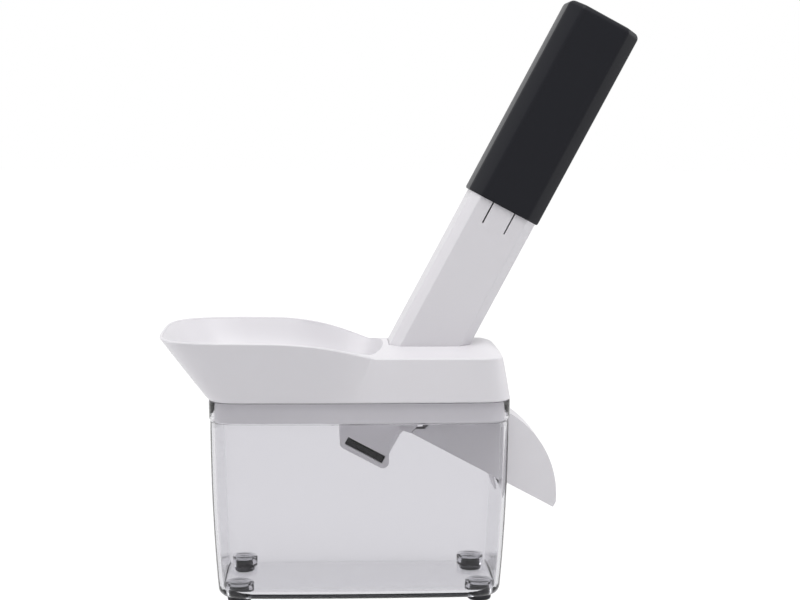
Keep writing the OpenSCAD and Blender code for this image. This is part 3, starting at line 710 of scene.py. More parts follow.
@dataclass
class StoneContainer(SubAssembly):
    """The clear container, its notch for the chute and the domes over its feet."""

    length: float = 137.0
    depth: float = 71.4
    draft: float = 3.6
    draft_power: float = 2.3
    floor_z: float = 2.3
    floor_t: float = 2.6
    rim_z: float = 97.5
    wall: float = 2.1
    corner: float = 12.0
    band_z: float = 88.5
    band_step: float = 0.5
    ledge_z: float = 87.5
    ledge_wall: float = 1.5
    bottom_round: float = 4.0
    inner_round: float = 3.0
    notch_half: float = 14.4
    notch_z: float = 53.4
    notch_round: float = 3.0
    foot_x: float = 57.5
    foot_y: float = 25.0
    socket_r: float = 7.0
    socket_z: float = 10.4
    socket_dome_r: float = 30.0
    foot_hole_r: float = 5.0
    foot_hole_z: float = 8.0

    def ring(self, z: float, out: float) -> np.ndarray:
        """The wall's outline at a height, moved out by a distance."""
        depth_share = max(0.0, self.rim_z - z) / (self.rim_z - self.floor_z)
        more = self.draft * (1 - depth_share ** self.draft_power) + out
        plan = BoxPlan(self.length / 2 + more + CONTAINER_SHIFT, self.length / 2 + more - CONTAINER_SHIFT,
                       self.depth / 2 + more, max(2.0, self.corner + out))
        return plan.ring(z, 0.0)

    def outline(self) -> list[tuple[float, float]]:
        """Height and outward offset of each ring, up the outside and down the inside."""
        r, low, top, band = self.bottom_round, self.floor_z, self.rim_z, self.band_z
        rows = [(low, -30.0), (low, -12.0)]
        rows += [(low + r * (1 - math.cos(a)), -r + r * math.sin(a)) for a in np.linspace(0, math.pi / 2, 8)]
        rows += [(z, 0.0) for z in np.linspace(low + r + 4, band, 16)]
        step = self.band_step
        rows += [(band + 0.15, 0.1), (band + 0.45, 0.4), (band + 0.7, step)]
        rows += [(top - 0.4, step), (top - 0.1, step - 0.1), (top, step - 0.4)]
        inner = step - self.ledge_wall
        rows += [(top, inner + 0.4), (top - 0.1, inner + 0.1), (top - 0.4, inner)]
        rows += [(self.ledge_z + 0.3, inner), (self.ledge_z, inner - 0.2), (self.ledge_z - 0.2, -self.wall)]
        floor, r = low + self.floor_t, self.inner_round
        rows += [(z, -self.wall) for z in np.linspace(self.ledge_z - 3, floor + 7, 14)]
        rows += [(floor + r * (1 - math.sin(a)), -self.wall - r * (1 - math.cos(a)))
                 for a in np.linspace(0, math.pi / 2, 7)]
        return rows + [(floor, -14.0), (floor, -30.0)]

    def foot_places(self) -> list[tuple[float, float]]:
        """Where the four feet stand."""
        return [(CONTAINER_SHIFT + x, y) for x in (-self.foot_x, self.foot_x)
                for y in (-self.foot_y, self.foot_y)]

    def sockets(self) -> Thing:
        """The four low domes over the feet, a little sunk in the floor."""
        dome_r, r = self.socket_dome_r, self.socket_r
        drop = dome_r - math.sqrt(dome_r ** 2 - r ** 2)
        outline = [(r, self.floor_z + 1.2), (r, self.socket_z - drop - 0.5)]
        outline += [(s, self.socket_z - dome_r + math.sqrt(dome_r ** 2 - s ** 2))
                    for s in (r - 0.5, 6.5, 4.5, 2.5, 0.6)]
        return self.bench.turned("sockets", outline, self.foot_places(), self.shelf.clear)

    def foot_holes(self) -> Thing:
        """The round tool that opens the four holes for the feet."""
        outline = [(self.foot_hole_r, self.floor_z - 2), (self.foot_hole_r, self.foot_hole_z)]
        return self.bench.turned("foot_holes", outline, self.foot_places(), self.shelf.clear)

    def notch(self) -> Thing:
        """The tool that opens the notch for the chute, round at its lower corners."""
        y, z, r = self.notch_half, self.notch_z, self.notch_round
        left = arc(-y + r, z + r, r, np.linspace(math.pi, 1.5 * math.pi, 8))
        profile = left + [(-p, q) for p, q in left[::-1]] + [(y, self.rim_z + 5), (-y, self.rim_z + 5)]
        near = np.array([(60.0, p, q) for p, q in profile])
        return self.bench.solid("notch", [near, near + np.array([20.0, 0.0, 0.0])], self.shelf.clear)

    def build(self) -> Thing:
        """Builds the container.

        Returns:
            The piece.
        """
        rings = [self.ring(z, out) for z, out in self.outline()]
        body = self.bench.solid("clear_container", rings, self.shelf.clear)
        self.bench.cut(body, [self.sockets()], "UNION")
        self.bench.cut(body, [self.foot_holes(), self.notch()])
        self.bench.smooth(body.data, 40.0)
        return settle(body, Body.BASE, "stone_container")


# ---- Geometry Nodes for what repeats or follows a path ----


class GeometryTree:
    """A Geometry Nodes tree with named inputs, written as tables of nodes and links."""

    def __init__(self, name: str, inputs: dict[str, str], nodes: dict[str, str],
                 links: Sequence[str]) -> None:
        """Builds the tree, which ends in Realize Instances and Set Material.

        Args:
            name: The tree's name.
            inputs: Kind of each input, by its name.
            nodes: Kind of each node, by the name that the links use.
            links: Links, each written as "node.Output > node.Input". The last
                one leads into "real", after which the ending follows.
        """
        self.tree = bpy.data.node_groups.new(name, "GeometryNodeTree")
        face = self.tree.interface
        face.new_socket("Geometry", in_out="INPUT", socket_type="NodeSocketGeometry")
        self.sockets: dict[str, str] = {}
        for label, kind in {**inputs, "Finish": "Material"}.items():
            socket = face.new_socket(label, in_out="INPUT", socket_type=f"NodeSocket{kind}")
            self.sockets[label] = socket.identifier
        face.new_socket("Geometry", in_out="OUTPUT", socket_type="NodeSocketGeometry")
        kinds = {"entry": "NodeGroupInput", "leave": "NodeGroupOutput",
                 "real": "GeometryNodeRealizeInstances", "paint": "GeometryNodeSetMaterial"}
        self.nodes = {label: self.tree.nodes.new(kind) for label, kind in {**kinds, **nodes}.items()}
        ending = ("real.Geometry > paint.Geometry", "entry.Finish > paint.Material",
                  "paint.Geometry > leave.Geometry")
        for line in (*links, *ending):
            (source, out), (target, into) = (end.split(".") for end in line.split(" > "))
            self.tree.links.new(self.nodes[source].outputs[out], self.nodes[target].inputs[into])

    def run(self, bench: Workbench, thing: Thing, values: dict[str, object]) -> Thing:
        """Runs the tree on an object and keeps the result as its mesh.

        Args:
            bench: The workbench that bakes the result.
            thing: The object.
            values: The inputs' values, by name.

        Returns:
            The same object.
        """
        modifier = thing.modifiers.new("nodes", "NODES")
        modifier.node_group = self.tree
        for label, value in values.items():
            modifier[self.sockets[label]] = value
        return bench.baked(thing)


def grid_tree() -> GeometryTree:
    """A tree that sets copies of its own geometry on a flat grid."""
    return GeometryTree(
        "copies_on_a_grid",
        {"Spacing X": "Float", "Spacing Y": "Float", "Columns": "Int", "Rows": "Int", "Centre": "Vector"},
        {"grid": "GeometryNodeMeshGrid", "shift": "GeometryNodeTransform",
         "copies": "GeometryNodeInstanceOnPoints"},
        ("entry.Spacing X > grid.Size X", "entry.Spacing Y > grid.Size Y", "entry.Columns > grid.Vertices X",
         "entry.Rows > grid.Vertices Y", "grid.Mesh > shift.Geometry", "entry.Centre > shift.Translation",
         "shift.Geometry > copies.Points", "entry.Geometry > copies.Instance",
         "copies.Instances > real.Geometry"))


def coil_tree(round_steps: int = 28, wire_sides: int = 10) -> GeometryTree:
    """A tree that winds a wire round Z.

    Args:
        round_steps: Steps in each turn.
        wire_sides: Sides of the wire.

    Returns:
        The tree.
    """
    coil = GeometryTree(
        "wound_wire",
        {"Radius": "Float", "Wire": "Float", "Length": "Float", "Turns": "Float"},
        {"coil": "GeometryNodeCurveSpiral", "wire": "GeometryNodeCurvePrimitiveCircle",
         "tube": "GeometryNodeCurveToMesh"},
        ("entry.Turns > coil.Rotations", "entry.Radius > coil.Start Radius", "entry.Radius > coil.End Radius",
         "entry.Length > coil.Height", "entry.Wire > wire.Radius", "coil.Curve > tube.Curve",
         "wire.Curve > tube.Profile Curve", "tube.Mesh > real.Geometry"))
    coil.nodes["coil"].inputs["Resolution"].default_value = round_steps
    coil.nodes["wire"].inputs["Resolution"].default_value = wire_sides
    coil.nodes["tube"].inputs["Fill Caps"].default_value = True
    return coil


@dataclass
class TurnedPieces(SubAssembly):
    """Small turned pieces that repeat: the rubber feet and the screws."""

    container: StoneContainer
    grid: GeometryTree = field(default_factory=grid_tree)
    foot_r: float = 5.7
    foot_round: float = 1.2
    foot_plug_r: float = 4.9
    foot_steps: int = 44
    screw_r: float = 1.35
    screw_length: float = 7.0
    screw_steps: int = 32
    head_r: float = 2.8
    head_h: float = 1.6
    thread_depth: float = 0.22
    recess_long: float = 1.5
    recess_wide: float = 0.32

    def at_origin(self, name: str, outline: Outline, finish: Finish,
                  count: int) -> Thing:
        """A turned piece about the frame's origin, before it is repeated."""
        return self.bench.turned(name, outline, [(-self.bench.centre_x / MM, 0.0)], finish, count, 40.0)

    def spread(self, one: Thing, finish: Finish, spacing: tuple[float, float],
               counts: tuple[int, int], centre: tuple[float, float, float]) -> Thing:
        """Turns one piece at the origin into a grid of them.

        Args:
            one: The single piece.
            finish: The finish of all copies.
            spacing: Distance between first and last along X and Y, in millimetres.
            counts: Copies along X and along Y.
            centre: The grid's centre in millimetres about the drawing's centre.

        Returns:
            The object with all copies in its mesh.
        """
        middle = (self.bench.centre_x + centre[0] * MM, centre[1] * MM, centre[2] * MM)
        return self.grid.run(self.bench, one, {
            "Spacing X": spacing[0] * MM, "Spacing Y": spacing[1] * MM,
            "Columns": counts[0], "Rows": counts[1], "Centre": middle, "Finish": finish})

    def feet(self) -> Thing:
        """The four rubber feet, whose plugs sit in the container's holes."""
        container, finish = self.container, self.shelf.rubber
        r, rr, top, plug = self.foot_r, self.foot_round, container.floor_z, self.foot_plug_r
        outline = [(r * 0.45, 0.0), (r - rr, 0.0)]
        outline += [(r - rr + rr * math.sin(a), rr - rr * math.cos(a))
                    for a in np.linspace(0.2, math.pi / 2, 6)]
        outline += [(r, top - 0.6), (r - 0.2, top - 0.2), (r - 0.6, top), (plug, top)]
        high = container.foot_hole_z
        outline += [(plug, high - 0.9), (plug - 0.7, high - 0.15), (1.0, high - 0.15)]
        foot = self.at_origin("rubber_feet", outline, finish, self.foot_steps)
        self.spread(foot, finish, (2 * container.foot_x, 2 * container.foot_y), (2, 2),
                    (CONTAINER_SHIFT, 0.0, 0.0))
        nodes = [f"foot_{end}_{side}" for end in ("front", "back") for side in ("left", "right")]
        return settle(foot, Body.BASE, *nodes)

    def screw(self, name: str) -> Thing:
        """One screw with its head down, a cross recess in it and rings for its thread."""
        r, hr, h = self.screw_r, self.head_r, self.head_h
        outline = [(0.6, -h), (hr - 0.9, -h), (hr - 0.35, -h + 0.3), (hr, -h + 0.8), (hr, -0.1)]
        outline += [(hr - 0.1, 0.0), (r, 0.02)]
        outline += [(r - (self.thread_depth if k % 2 else 0.0), 0.5 + 0.5 * k)
                    for k in range(int(self.screw_length * 2) - 2)]
        outline += [(0.3, self.screw_length)]
        screw = self.at_origin(name, outline, self.shelf.steel, self.screw_steps)
        origin = np.array([self.bench.centre_x / MM, 0.0, 0.0])
        recesses = []
        for x, y in ((self.recess_long, self.recess_wide), (self.recess_wide, self.recess_long)):
            ring = np.array([(-x, -y), (x, -y), (x, y), (-x, y)])
            levels = ((1.0, -h - 0.5), (0.6, -h + 1.0))
            rings = [np.column_stack([ring * share, np.full(4, z)]) - origin for share, z in levels]
            recesses.append(self.bench.solid("recess", rings, self.shelf.steel))
        return self.bench.cut(screw, recesses)

    def build(self) -> None:
        """Builds the feet, the bracket's four screws and the chute's two."""
        self.feet()
        for name, node, spacing, counts, x in (
                ("bracket_screw_set", "bracket_screws", (42.0, 54.0), (2, 2), 9.0),
                ("chute_screw_set", "chute_screws", (0.0, 44.0), (1, 2), 54.0)):
            group = self.spread(self.screw(name), self.shelf.steel, spacing, counts, (x, 0.0, SCREW_SEAT_Z))
            settle(group, Body.UPPER, node)


# ---- The handle's slanted axis ----


@dataclass(frozen=True)
class HandleAxis:
    """The line that the handle slides on. s runs up it from the deck, u square to it, down to the right."""

    angle_deg: float = 62.0
    x: float = 35.0
    deck_z: float = 121.9

    @property
    def up(self) -> np.ndarray:
        """Direction of s."""
        a = math.radians(self.angle_deg)
        return np.array([math.cos(a), 0.0, math.sin(a)])

    @property
    def across(self) -> np.ndarray:
        """Direction of u."""
        a = math.radians(self.angle_deg)
        return np.array([math.sin(a), 0.0, -math.cos(a)])

    def at(self, points: np.ndarray) -> np.ndarray:
        """Points given as u, Y and s, in millimetres about the drawing's centre."""
        points = np.asarray(points, float)
        base = np.array([self.x, 0.0, self.deck_z])
        return (base + np.outer(points[:, 0], self.across) + np.outer(points[:, 1], [0.0, 1.0, 0.0])
                + np.outer(points[:, 2], self.up))

    def ring(self, plan: np.ndarray, s: float) -> np.ndarray:
        """A plan (u, Y) as a ring square to the axis, at one s."""
        return self.at(np.column_stack([plan, np.full(len(plan), s)]))

    def reach_height(self, plan: np.ndarray, z: float) -> np.ndarray:
        """Where lines along the axis through plan points (u, Y) meet a height."""
        a = math.radians(self.angle_deg)
        s = (z - self.deck_z + plan[:, 0] * math.cos(a)) / math.sin(a)
        return self.at(np.column_stack([plan, s]))


def chamfered_plan(width: float, depth: float, chamfer: float, blend: int = 1) -> np.ndarray:
    """Outline of a bar with chamfered edges, whose arrises can be rounded.

    Args:
        width: Size along u.
        depth: Size along Y.
        chamfer: Size of the chamfer along each side.
        blend: Steps that round each arris, or 1 for sharp ones.

    Returns:
        Points (u, Y), anticlockwise.
    """
    x, y, c = width / 2, depth / 2, chamfer
    corners = np.array([(x, -y + c), (x, y - c), (x - c, y), (-x + c, y),
                        (-x, y - c), (-x, -y + c), (-x + c, -y), (x - c, -y)])
    if blend < 2:
        return corners
    soft, reach = [], min(1.1, c * 0.3)
    for k, corner in enumerate(corners):
        before, after = corners[k - 1], corners[(k + 1) % 8]
        a = corner + (before - corner) / np.linalg.norm(before - corner) * reach
        b = corner + (after - corner) / np.linalg.norm(after - corner) * reach
        soft += [(1 - t) ** 2 * a + 2 * t * (1 - t) * corner + t ** 2 * b
                 for t in np.linspace(0, 1, blend + 1)]
    return np.array(soft)


# ---- Housing ----

# Rings of the hopper's hollow below its mouth, and of the outside of its bowl: reach to the left and
# to the right of the drawing's centre, half width, and height at the left and at the right end.
BOWL_INSIDE = ((83.0, 9.5, 45.5, 116.0, 111.0), (73.5, 8.0, 37.0, 108.5, 102.0),
               (67.0, 7.0, 27.0, 104.0, 97.0), (58.0, 4.0, 11.0, 101.0, 94.0))
BOWL_OUTSIDE = ((56.0, 2.0, 9.0, 98.6, 91.6), (60.2, 6.2, 13.2, 99.6, 92.6), (69.2, 9.2, 29.2, 102.4, 95.4),
                (75.4, 10.2, 39.0, 107.2, 100.7), (84.6, 11.7, 47.2, 114.9, 109.7),
                (92.9, 14.7, 52.9, 125.2, 119.0), (95.4, 15.7, 55.4, 140.0, 133.0))
# Screw bosses: X, distance from the middle along Y, and the height that they reach up to.
BOSSES = ((-12.0, 27.0, 98.2), (30.0, 27.0, 116.0), (54.0, 22.0, 116.5))
# A boss and its hole as radius and height, below its top, which has the last radius.
BOSS_OUTLINE = ((1.45, 97.5), (1.45, 90.45), (3.2, 90.45), (3.4, 90.7))
BOSS_TOP_R = 3.5


@dataclass
class Housing(SubAssembly):
    """The white housing: skirt, crowned deck and flared hopper."""

    axis: HandleAxis = HandleAxis()
    seam_z: float = 97.85
    right: float = 73.6
    left: float = 71.7
    half_depth: float = 39.8
    corner: float = 12.0
    split: float = -1.4
    shell: float = 2.2
    skirt_h: float = 10.0
    skirt_inset: float = 1.85
    deck_lean: float = 1.9
    deck_corner: float = 9.0
    deck_edge_z: float = 118.3
    deck_crown: float = 3.6
    end_lean: float = 4.1
    end_round: float = 8.5
    hopper_z: float = 127.8
    hopper_reach: float = 94.0
    hopper_half: float = 54.0
    rim_mid_x: float = -40.0
    rim_right: float = 63.5
    dip_start: float = -60.0
    dip_length: float = 67.0
    dip_power: float = 3.5
    flare_bulge: float = 0.2
    flare_reach: float = 12.0
    lip: float = 1.5
    lip_gap: float = 0.08
    bowl_right: float = 12.5
    edge_round: float = 0.7
    shaft_size: tuple[float, float] = (34.5, 31.0)
    passage_gap: float = 0.15
    passage_chamfer: float = 4.4
    focus_x: float = -20.0
    bowl_mid_x: float = -27.0
    bowl_floor_z: float = 101.0
    bowl_floor_drop: float = 7.0
    bowl_floor_span: tuple[float, float] = (-58.0, 62.0)
    passage_span: tuple[float, float] = (-44.0, 30.0)
    guide_gap: float = 0.4
    guide_wall: float = 2.0
    guide_cut_u: float = -11.0
    guide_span: tuple[float, float] = (91.0, 116.2)

    @property
    def deck_half_l(self) -> float:
        """Half length of the deck at its edge."""
        return self.right - self.end_lean

    @property
    def deck_half_d(self) -> float:
        """Half depth of the deck at its edge."""
        return self.half_depth - self.deck_lean

    def top_height(self, plan: np.ndarray) -> np.ndarray:
        """Height of the top surface over plan points, hopper rim and deck together."""
        x, y = plan[:, 0], plan[:, 1]
        dip = np.clip((x - self.dip_start) / self.dip_length, 0, 1) ** self.dip_power
        crown = self.deck_crown * (1 - (y / self.deck_half_d) ** 2)
        end = np.clip((x - self.deck_half_l + self.end_round) / self.end_round, 0, 1)
        return (self.hopper_z - (self.hopper_z - self.deck_edge_z) * dip + crown * dip
                - (crown + 0.8) * end ** 2.2)

    def level_ring(self, w: float, z: float) -> np.ndarray:
        """The wall's foot outline, drawn in by w, at a height."""
        plan = BoxPlan(self.right - w, self.left - w, self.half_depth - w, self.corner - w / 2)
        return plan.ring(z, self.split)

    def rim_plan(self, w: float) -> np.ndarray:
        """Outline of the deck's edge and the hopper's lip, drawn in by w, in plan."""
        end, bend, long_a, long_b, bend_left, end_left = PLAN_STEPS
        b, a = self.hopper_half - w, self.rim_right - w
        hd, hl, r = self.deck_half_d - w, self.deck_half_l - w, self.deck_corner - w / 2
        tip = self.hopper_reach + self.rim_mid_x - w
        yc, xc = hd - r, hl - r
        start = math.asin(hd / b)
        pts = [(hl - 0.8 * s * s, yc * s) for s in np.arange(end) / end]
        pts += arc(xc - 0.8, yc, r, np.linspace(0, math.pi / 2, bend))
        x1 = self.rim_mid_x + a * math.cos(start)
        pts += [(xc + (x1 - xc) * s, hd) for s in np.arange(1, long_a + 1) / long_a]
        pts += [(self.rim_mid_x + a * math.cos(t), b * math.sin(t))
                for t in start + (math.pi / 2 - start) * np.arange(1, long_b + 1) / long_b]
        shares = np.concatenate([np.linspace(0.95, 0.3, bend_left),
                                 0.3 * (1 - np.arange(1, end_left + 1) / end_left)])
        turn = math.pi / 2 * shares ** 1.6
        pts += list(zip(self.rim_mid_x - tip * np.sqrt(np.cos(turn)), b * np.sqrt(np.sin(turn))))
        return whole_ring(np.array([(x, y, 0.0) for x, y in pts]))

    def rim_ring(self, w: float, drop: float) -> np.ndarray:
        """The rim's outline, drawn in by w and lowered by drop."""
        ring = self.rim_plan(w)
        ring[:, 2] = self.top_height(ring) - drop
        return ring

    def bowl_ring(self, like: np.ndarray, left: float, right: float, half: float, z_left: float = 0.0,
                  z_right: float = 0.0) -> np.ndarray:
        """An outline of the hopper's hollow with one point towards each point of another ring.

        Args:
            like: The ring whose directions it takes.
            left: Reach to the left of the drawing's centre.
            right: Reach to the right of it.
            half: Half width.
            z_left: Height at the left end.
            z_right: Height at the right end.

        Returns:
            The ring.
        """
        t = math.pi / 2 * np.linspace(0, 1, 400) ** 1.3
        right_x = self.rim_mid_x + (right - self.rim_mid_x) * np.cos(t) ** 0.8
        right_y = half * np.sin(t) ** 0.8
        t = math.pi / 2 * np.linspace(1, 0, 400) ** 1.6
        left_x = self.rim_mid_x - (left + self.rim_mid_x) * np.sqrt(np.clip(np.cos(t), 0, 1))
        left_y = half * np.sqrt(np.sin(t))
        xs, ys = np.concatenate([right_x, left_x]), np.concatenate([right_y, left_y])
        turn = np.arctan2(ys, xs - self.focus_x)
        wanted = np.arctan2(like[:, 1], like[:, 0] - self.focus_x)
        x = np.interp(np.abs(wanted), turn, xs)
        y = np.sign(wanted) * np.interp(np.abs(wanted), turn, ys)
        return np.column_stack([x, y, z_left + (z_right - z_left) * (x + left) / (left + right)])

    def mouth_ring(self, lip: np.ndarray, out: float, gap: float, drop: float) -> np.ndarray:
        """An outline of the hopper's mouth, kept inside the lip and set down on the top surface.

        Args:
            lip: The lip's outline, with one point in each of its directions.
            out: How far it lies outside the hollow's own wall.
            gap: The least distance from the lip's outline.
            drop: Distance below the top surface.

        Returns:
            The ring.
        """
        left, half = self.hopper_reach - self.lip, self.hopper_half - self.lip - 0.2
        ring = self.bowl_ring(lip, left + out, self.bowl_right + out, half + out)
        middle = np.array([self.focus_x, 0.0])
        reach = np.linalg.norm(ring[:, :2] - middle, axis=1)
        limit = np.linalg.norm(lip[:, :2] - middle, axis=1) - gap
        ring[:, :2] = middle + (ring[:, :2] - middle) * np.minimum(1.0, limit / reach)[:, None]
        ring[:, 2] = self.top_height(ring) - drop
        return ring

    def wall_rows(self, low: np.ndarray, high: np.ndarray, shares: np.ndarray) -> list[np.ndarray]:
        """Rings up the wall between two rings, bulged a little where the wall flares.

        Args:
            low: The lower ring.
            high: The upper ring.
            shares: How far up each ring lies, 0 to 1.

        Returns:
            The rings.
        """
        flat = low * np.array([1.0, 1.0, 0.0])
        outward = flat / np.linalg.norm(flat, axis=1)[:, None]
        reach = high - low
        far = np.minimum(1, np.linalg.norm(reach[:, :2], axis=1) / self.flare_reach)
        return [low + reach * t + outward * (self.flare_bulge * math.sin(math.pi * t) * far)[:, None]
                for t in shares]

    def surface_rows(self) -> list[np.ndarray]:
        """Rings of the visible surface: up the wall, over the deck and lip, and down into the hopper."""
        e = self.edge_round
        seam = self.level_ring(0.0, self.seam_z)
        rows = [self.level_ring(0.35, self.seam_z), seam + np.array([0.0, 0.0, 0.35])]
        rows += self.wall_rows(seam, self.rim_ring(0.0, e), np.linspace(0.06, 1.0, 26))
        rows += [self.rim_ring(e * (1 - math.cos(a)), e * (1 - math.sin(a))) for a in EDGE_TURN]
        lip = rows[-1]
        mouth = self.mouth_ring(lip, e, self.lip_gap, 0.0)
        for t in np.linspace(0, 1, 22)[1:]:
            row = lip + (mouth - lip) * t
            row[:, 2] = self.top_height(row)
            rows.append(row)
        for a in EDGE_TURN:
            out = e * (1 - math.sin(a))
            rows.append(self.mouth_ring(lip, out, self.lip_gap + e - out, e * (1 - math.cos(a))))
        return rows + self.bowl_rows(lip, rows[-1])

    def bowl_rows(self, lip: np.ndarray, mouth: np.ndarray) -> list[np.ndarray]:
        """Rings down the hopper's hollow, from its mouth to its floor, on a smooth curve."""
        keys = [mouth] + [self.bowl_ring(lip, *sizes) for sizes in BOWL_INSIDE]
        keys = [keys[0] + (keys[0] - keys[1]) * 0.5] + keys
        keys.append(keys[-1] + (keys[-1] - keys[-2]) * 0.6)
        rows = []
        for k in range(1, len(keys) - 2):
            p0, p1, p2, p3 = keys[k - 1:k + 3]
            for t in np.linspace(0, 1, 8)[1:]:
                rows.append(0.5 * (2 * p1 + (p2 - p0) * t + (2 * p0 - 5 * p1 + 4 * p2 - p3) * t ** 2
                                   + (3 * p1 - p0 - 3 * p2 + p3) * t ** 3))
        floor, middle = rows[-1], np.array([self.bowl_mid_x, 0.0, 0.0])
        start, length = self.bowl_floor_span
        for share in (0.75, 0.45, 0.15):
            row = middle + (floor - middle) * share
            fall = self.bowl_floor_drop * (row[:, 0] - start) / length
            row[:, 2] = self.bowl_floor_z - fall - 0.25 * (1 - share)
            rows.append(row)
        return rows

    def passage(self) -> Thing:
        """The tool that opens the way for the handle's shaft."""
        width, depth = self.shaft_size
        gap = self.passage_gap
        plan = chamfered_plan(width + 2 * gap, depth + 2 * gap, self.passage_chamfer)
        rings = [self.axis.ring(plan, s) for s in self.passage_span]
        return self.bench.solid("passage", rings, self.shelf.white)

    def skirt(self) -> Thing:
        """The skirt that hangs inside the container's rim, with the ledge that joins it to the wall."""
        w, shell, seam, low = self.skirt_inset, self.shell, self.seam_z, self.seam_z - self.skirt_h
        rows = [(low + 0.4, w), (low, w + 0.4), (low, w + shell - 0.4), (low + 0.4, w + shell),
                (seam + 1.8, w + shell), (seam + 2.2, w + shell - 0.4), (seam + 2.2, 0.5),
                (seam + 0.05, 0.5), (seam + 0.05, w)]
        rings = [self.level_ring(inset, z) for z, inset in rows]
        count = len(rings[0])
        faces = loft_faces(len(rings) + 1, count)[:-2]
        faces = [[i % (len(rings) * count) for i in f][::-1] for f in faces]
        return self.bench.from_faces("skirt", np.vstack(rings), faces, self.shelf.white)

    def guide(self) -> Thing:
        """The three walls inside that the shaft slides between."""
        width, depth = self.shaft_size
        near, far = 2 * self.guide_gap, 2 * (self.guide_gap + self.guide_wall)
        outer = chamfered_plan(width + far, depth + far, 4.5)
        inner = chamfered_plan(width + near, depth + near, 4.3)
        cut_u = self.guide_cut_u
        out_y, in_y = outer[:, 1].max(), inner[:, 1].max()
        path = [(cut_u, -out_y), *outer[[7, 0, 1, 2]], (cut_u, out_y)]
        path += [(cut_u, in_y), *inner[[2, 1, 0, 7]], (cut_u, -in_y)]
        rings = [self.axis.reach_height(np.array([tuple(p) for p in path]), z) for z in self.guide_span]
        return self.bench.solid("guide", rings, self.shelf.white)

    def bosses(self) -> list[Thing]:
        """The six screw bosses under the deck and the hopper, with their holes."""
        return [self.bench.turned("bosses", (*BOSS_OUTLINE, (BOSS_TOP_R, top)), [(x, -y), (x, y)],
                                  self.shelf.white, 36) for x, y, top in BOSSES]

    def cavity(self) -> Thing:
        """The hollow under the deck and round the hopper's bowl."""
        w = self.shell
        low, high = self.level_ring(w, self.seam_z), self.rim_ring(w, w)
        rows = [self.level_ring(w, self.seam_z - self.skirt_h - 3.0), low]
        rows += self.wall_rows(low, high, np.linspace(0, 1, 12)[1:])
        middle = np.array([self.focus_x, 0.0, 0.0])
        for share in (0.8, 0.6, 0.4, 0.2, 0.05):
            row = middle + (high - middle) * share
            row[:, 2] = self.top_height(row) - w
            rows.append(row)
        hollow = self.bench.solid("hollow", rows, self.shelf.white)
        like = self.rim_ring(1.0, 0.0)
        bowl = [self.bowl_ring(like, *sizes) for sizes in BOWL_OUTSIDE]
        return self.bench.cut(hollow, [self.bench.solid("bowl_outside", bowl, self.shelf.white)])

    def build(self) -> Thing:
        """Builds the housing.

        Returns:
            The piece.
        """
        foot = [self.level_ring(self.shell + 0.6, z) for z in (self.seam_z - self.skirt_h - 1.0, self.seam_z)]
        body = self.bench.solid("white_housing", foot + self.surface_rows(), self.shelf.white)
        self.bench.cut(body, [self.cavity(), self.passage()])
        self.bench.smooth(body.data, 18.0)
        things = [body, self.skirt(), self.guide(), *self.bosses()]
        return settle(joined("white_housing", things), Body.UPPER, "housing")


# ---- Handle ----


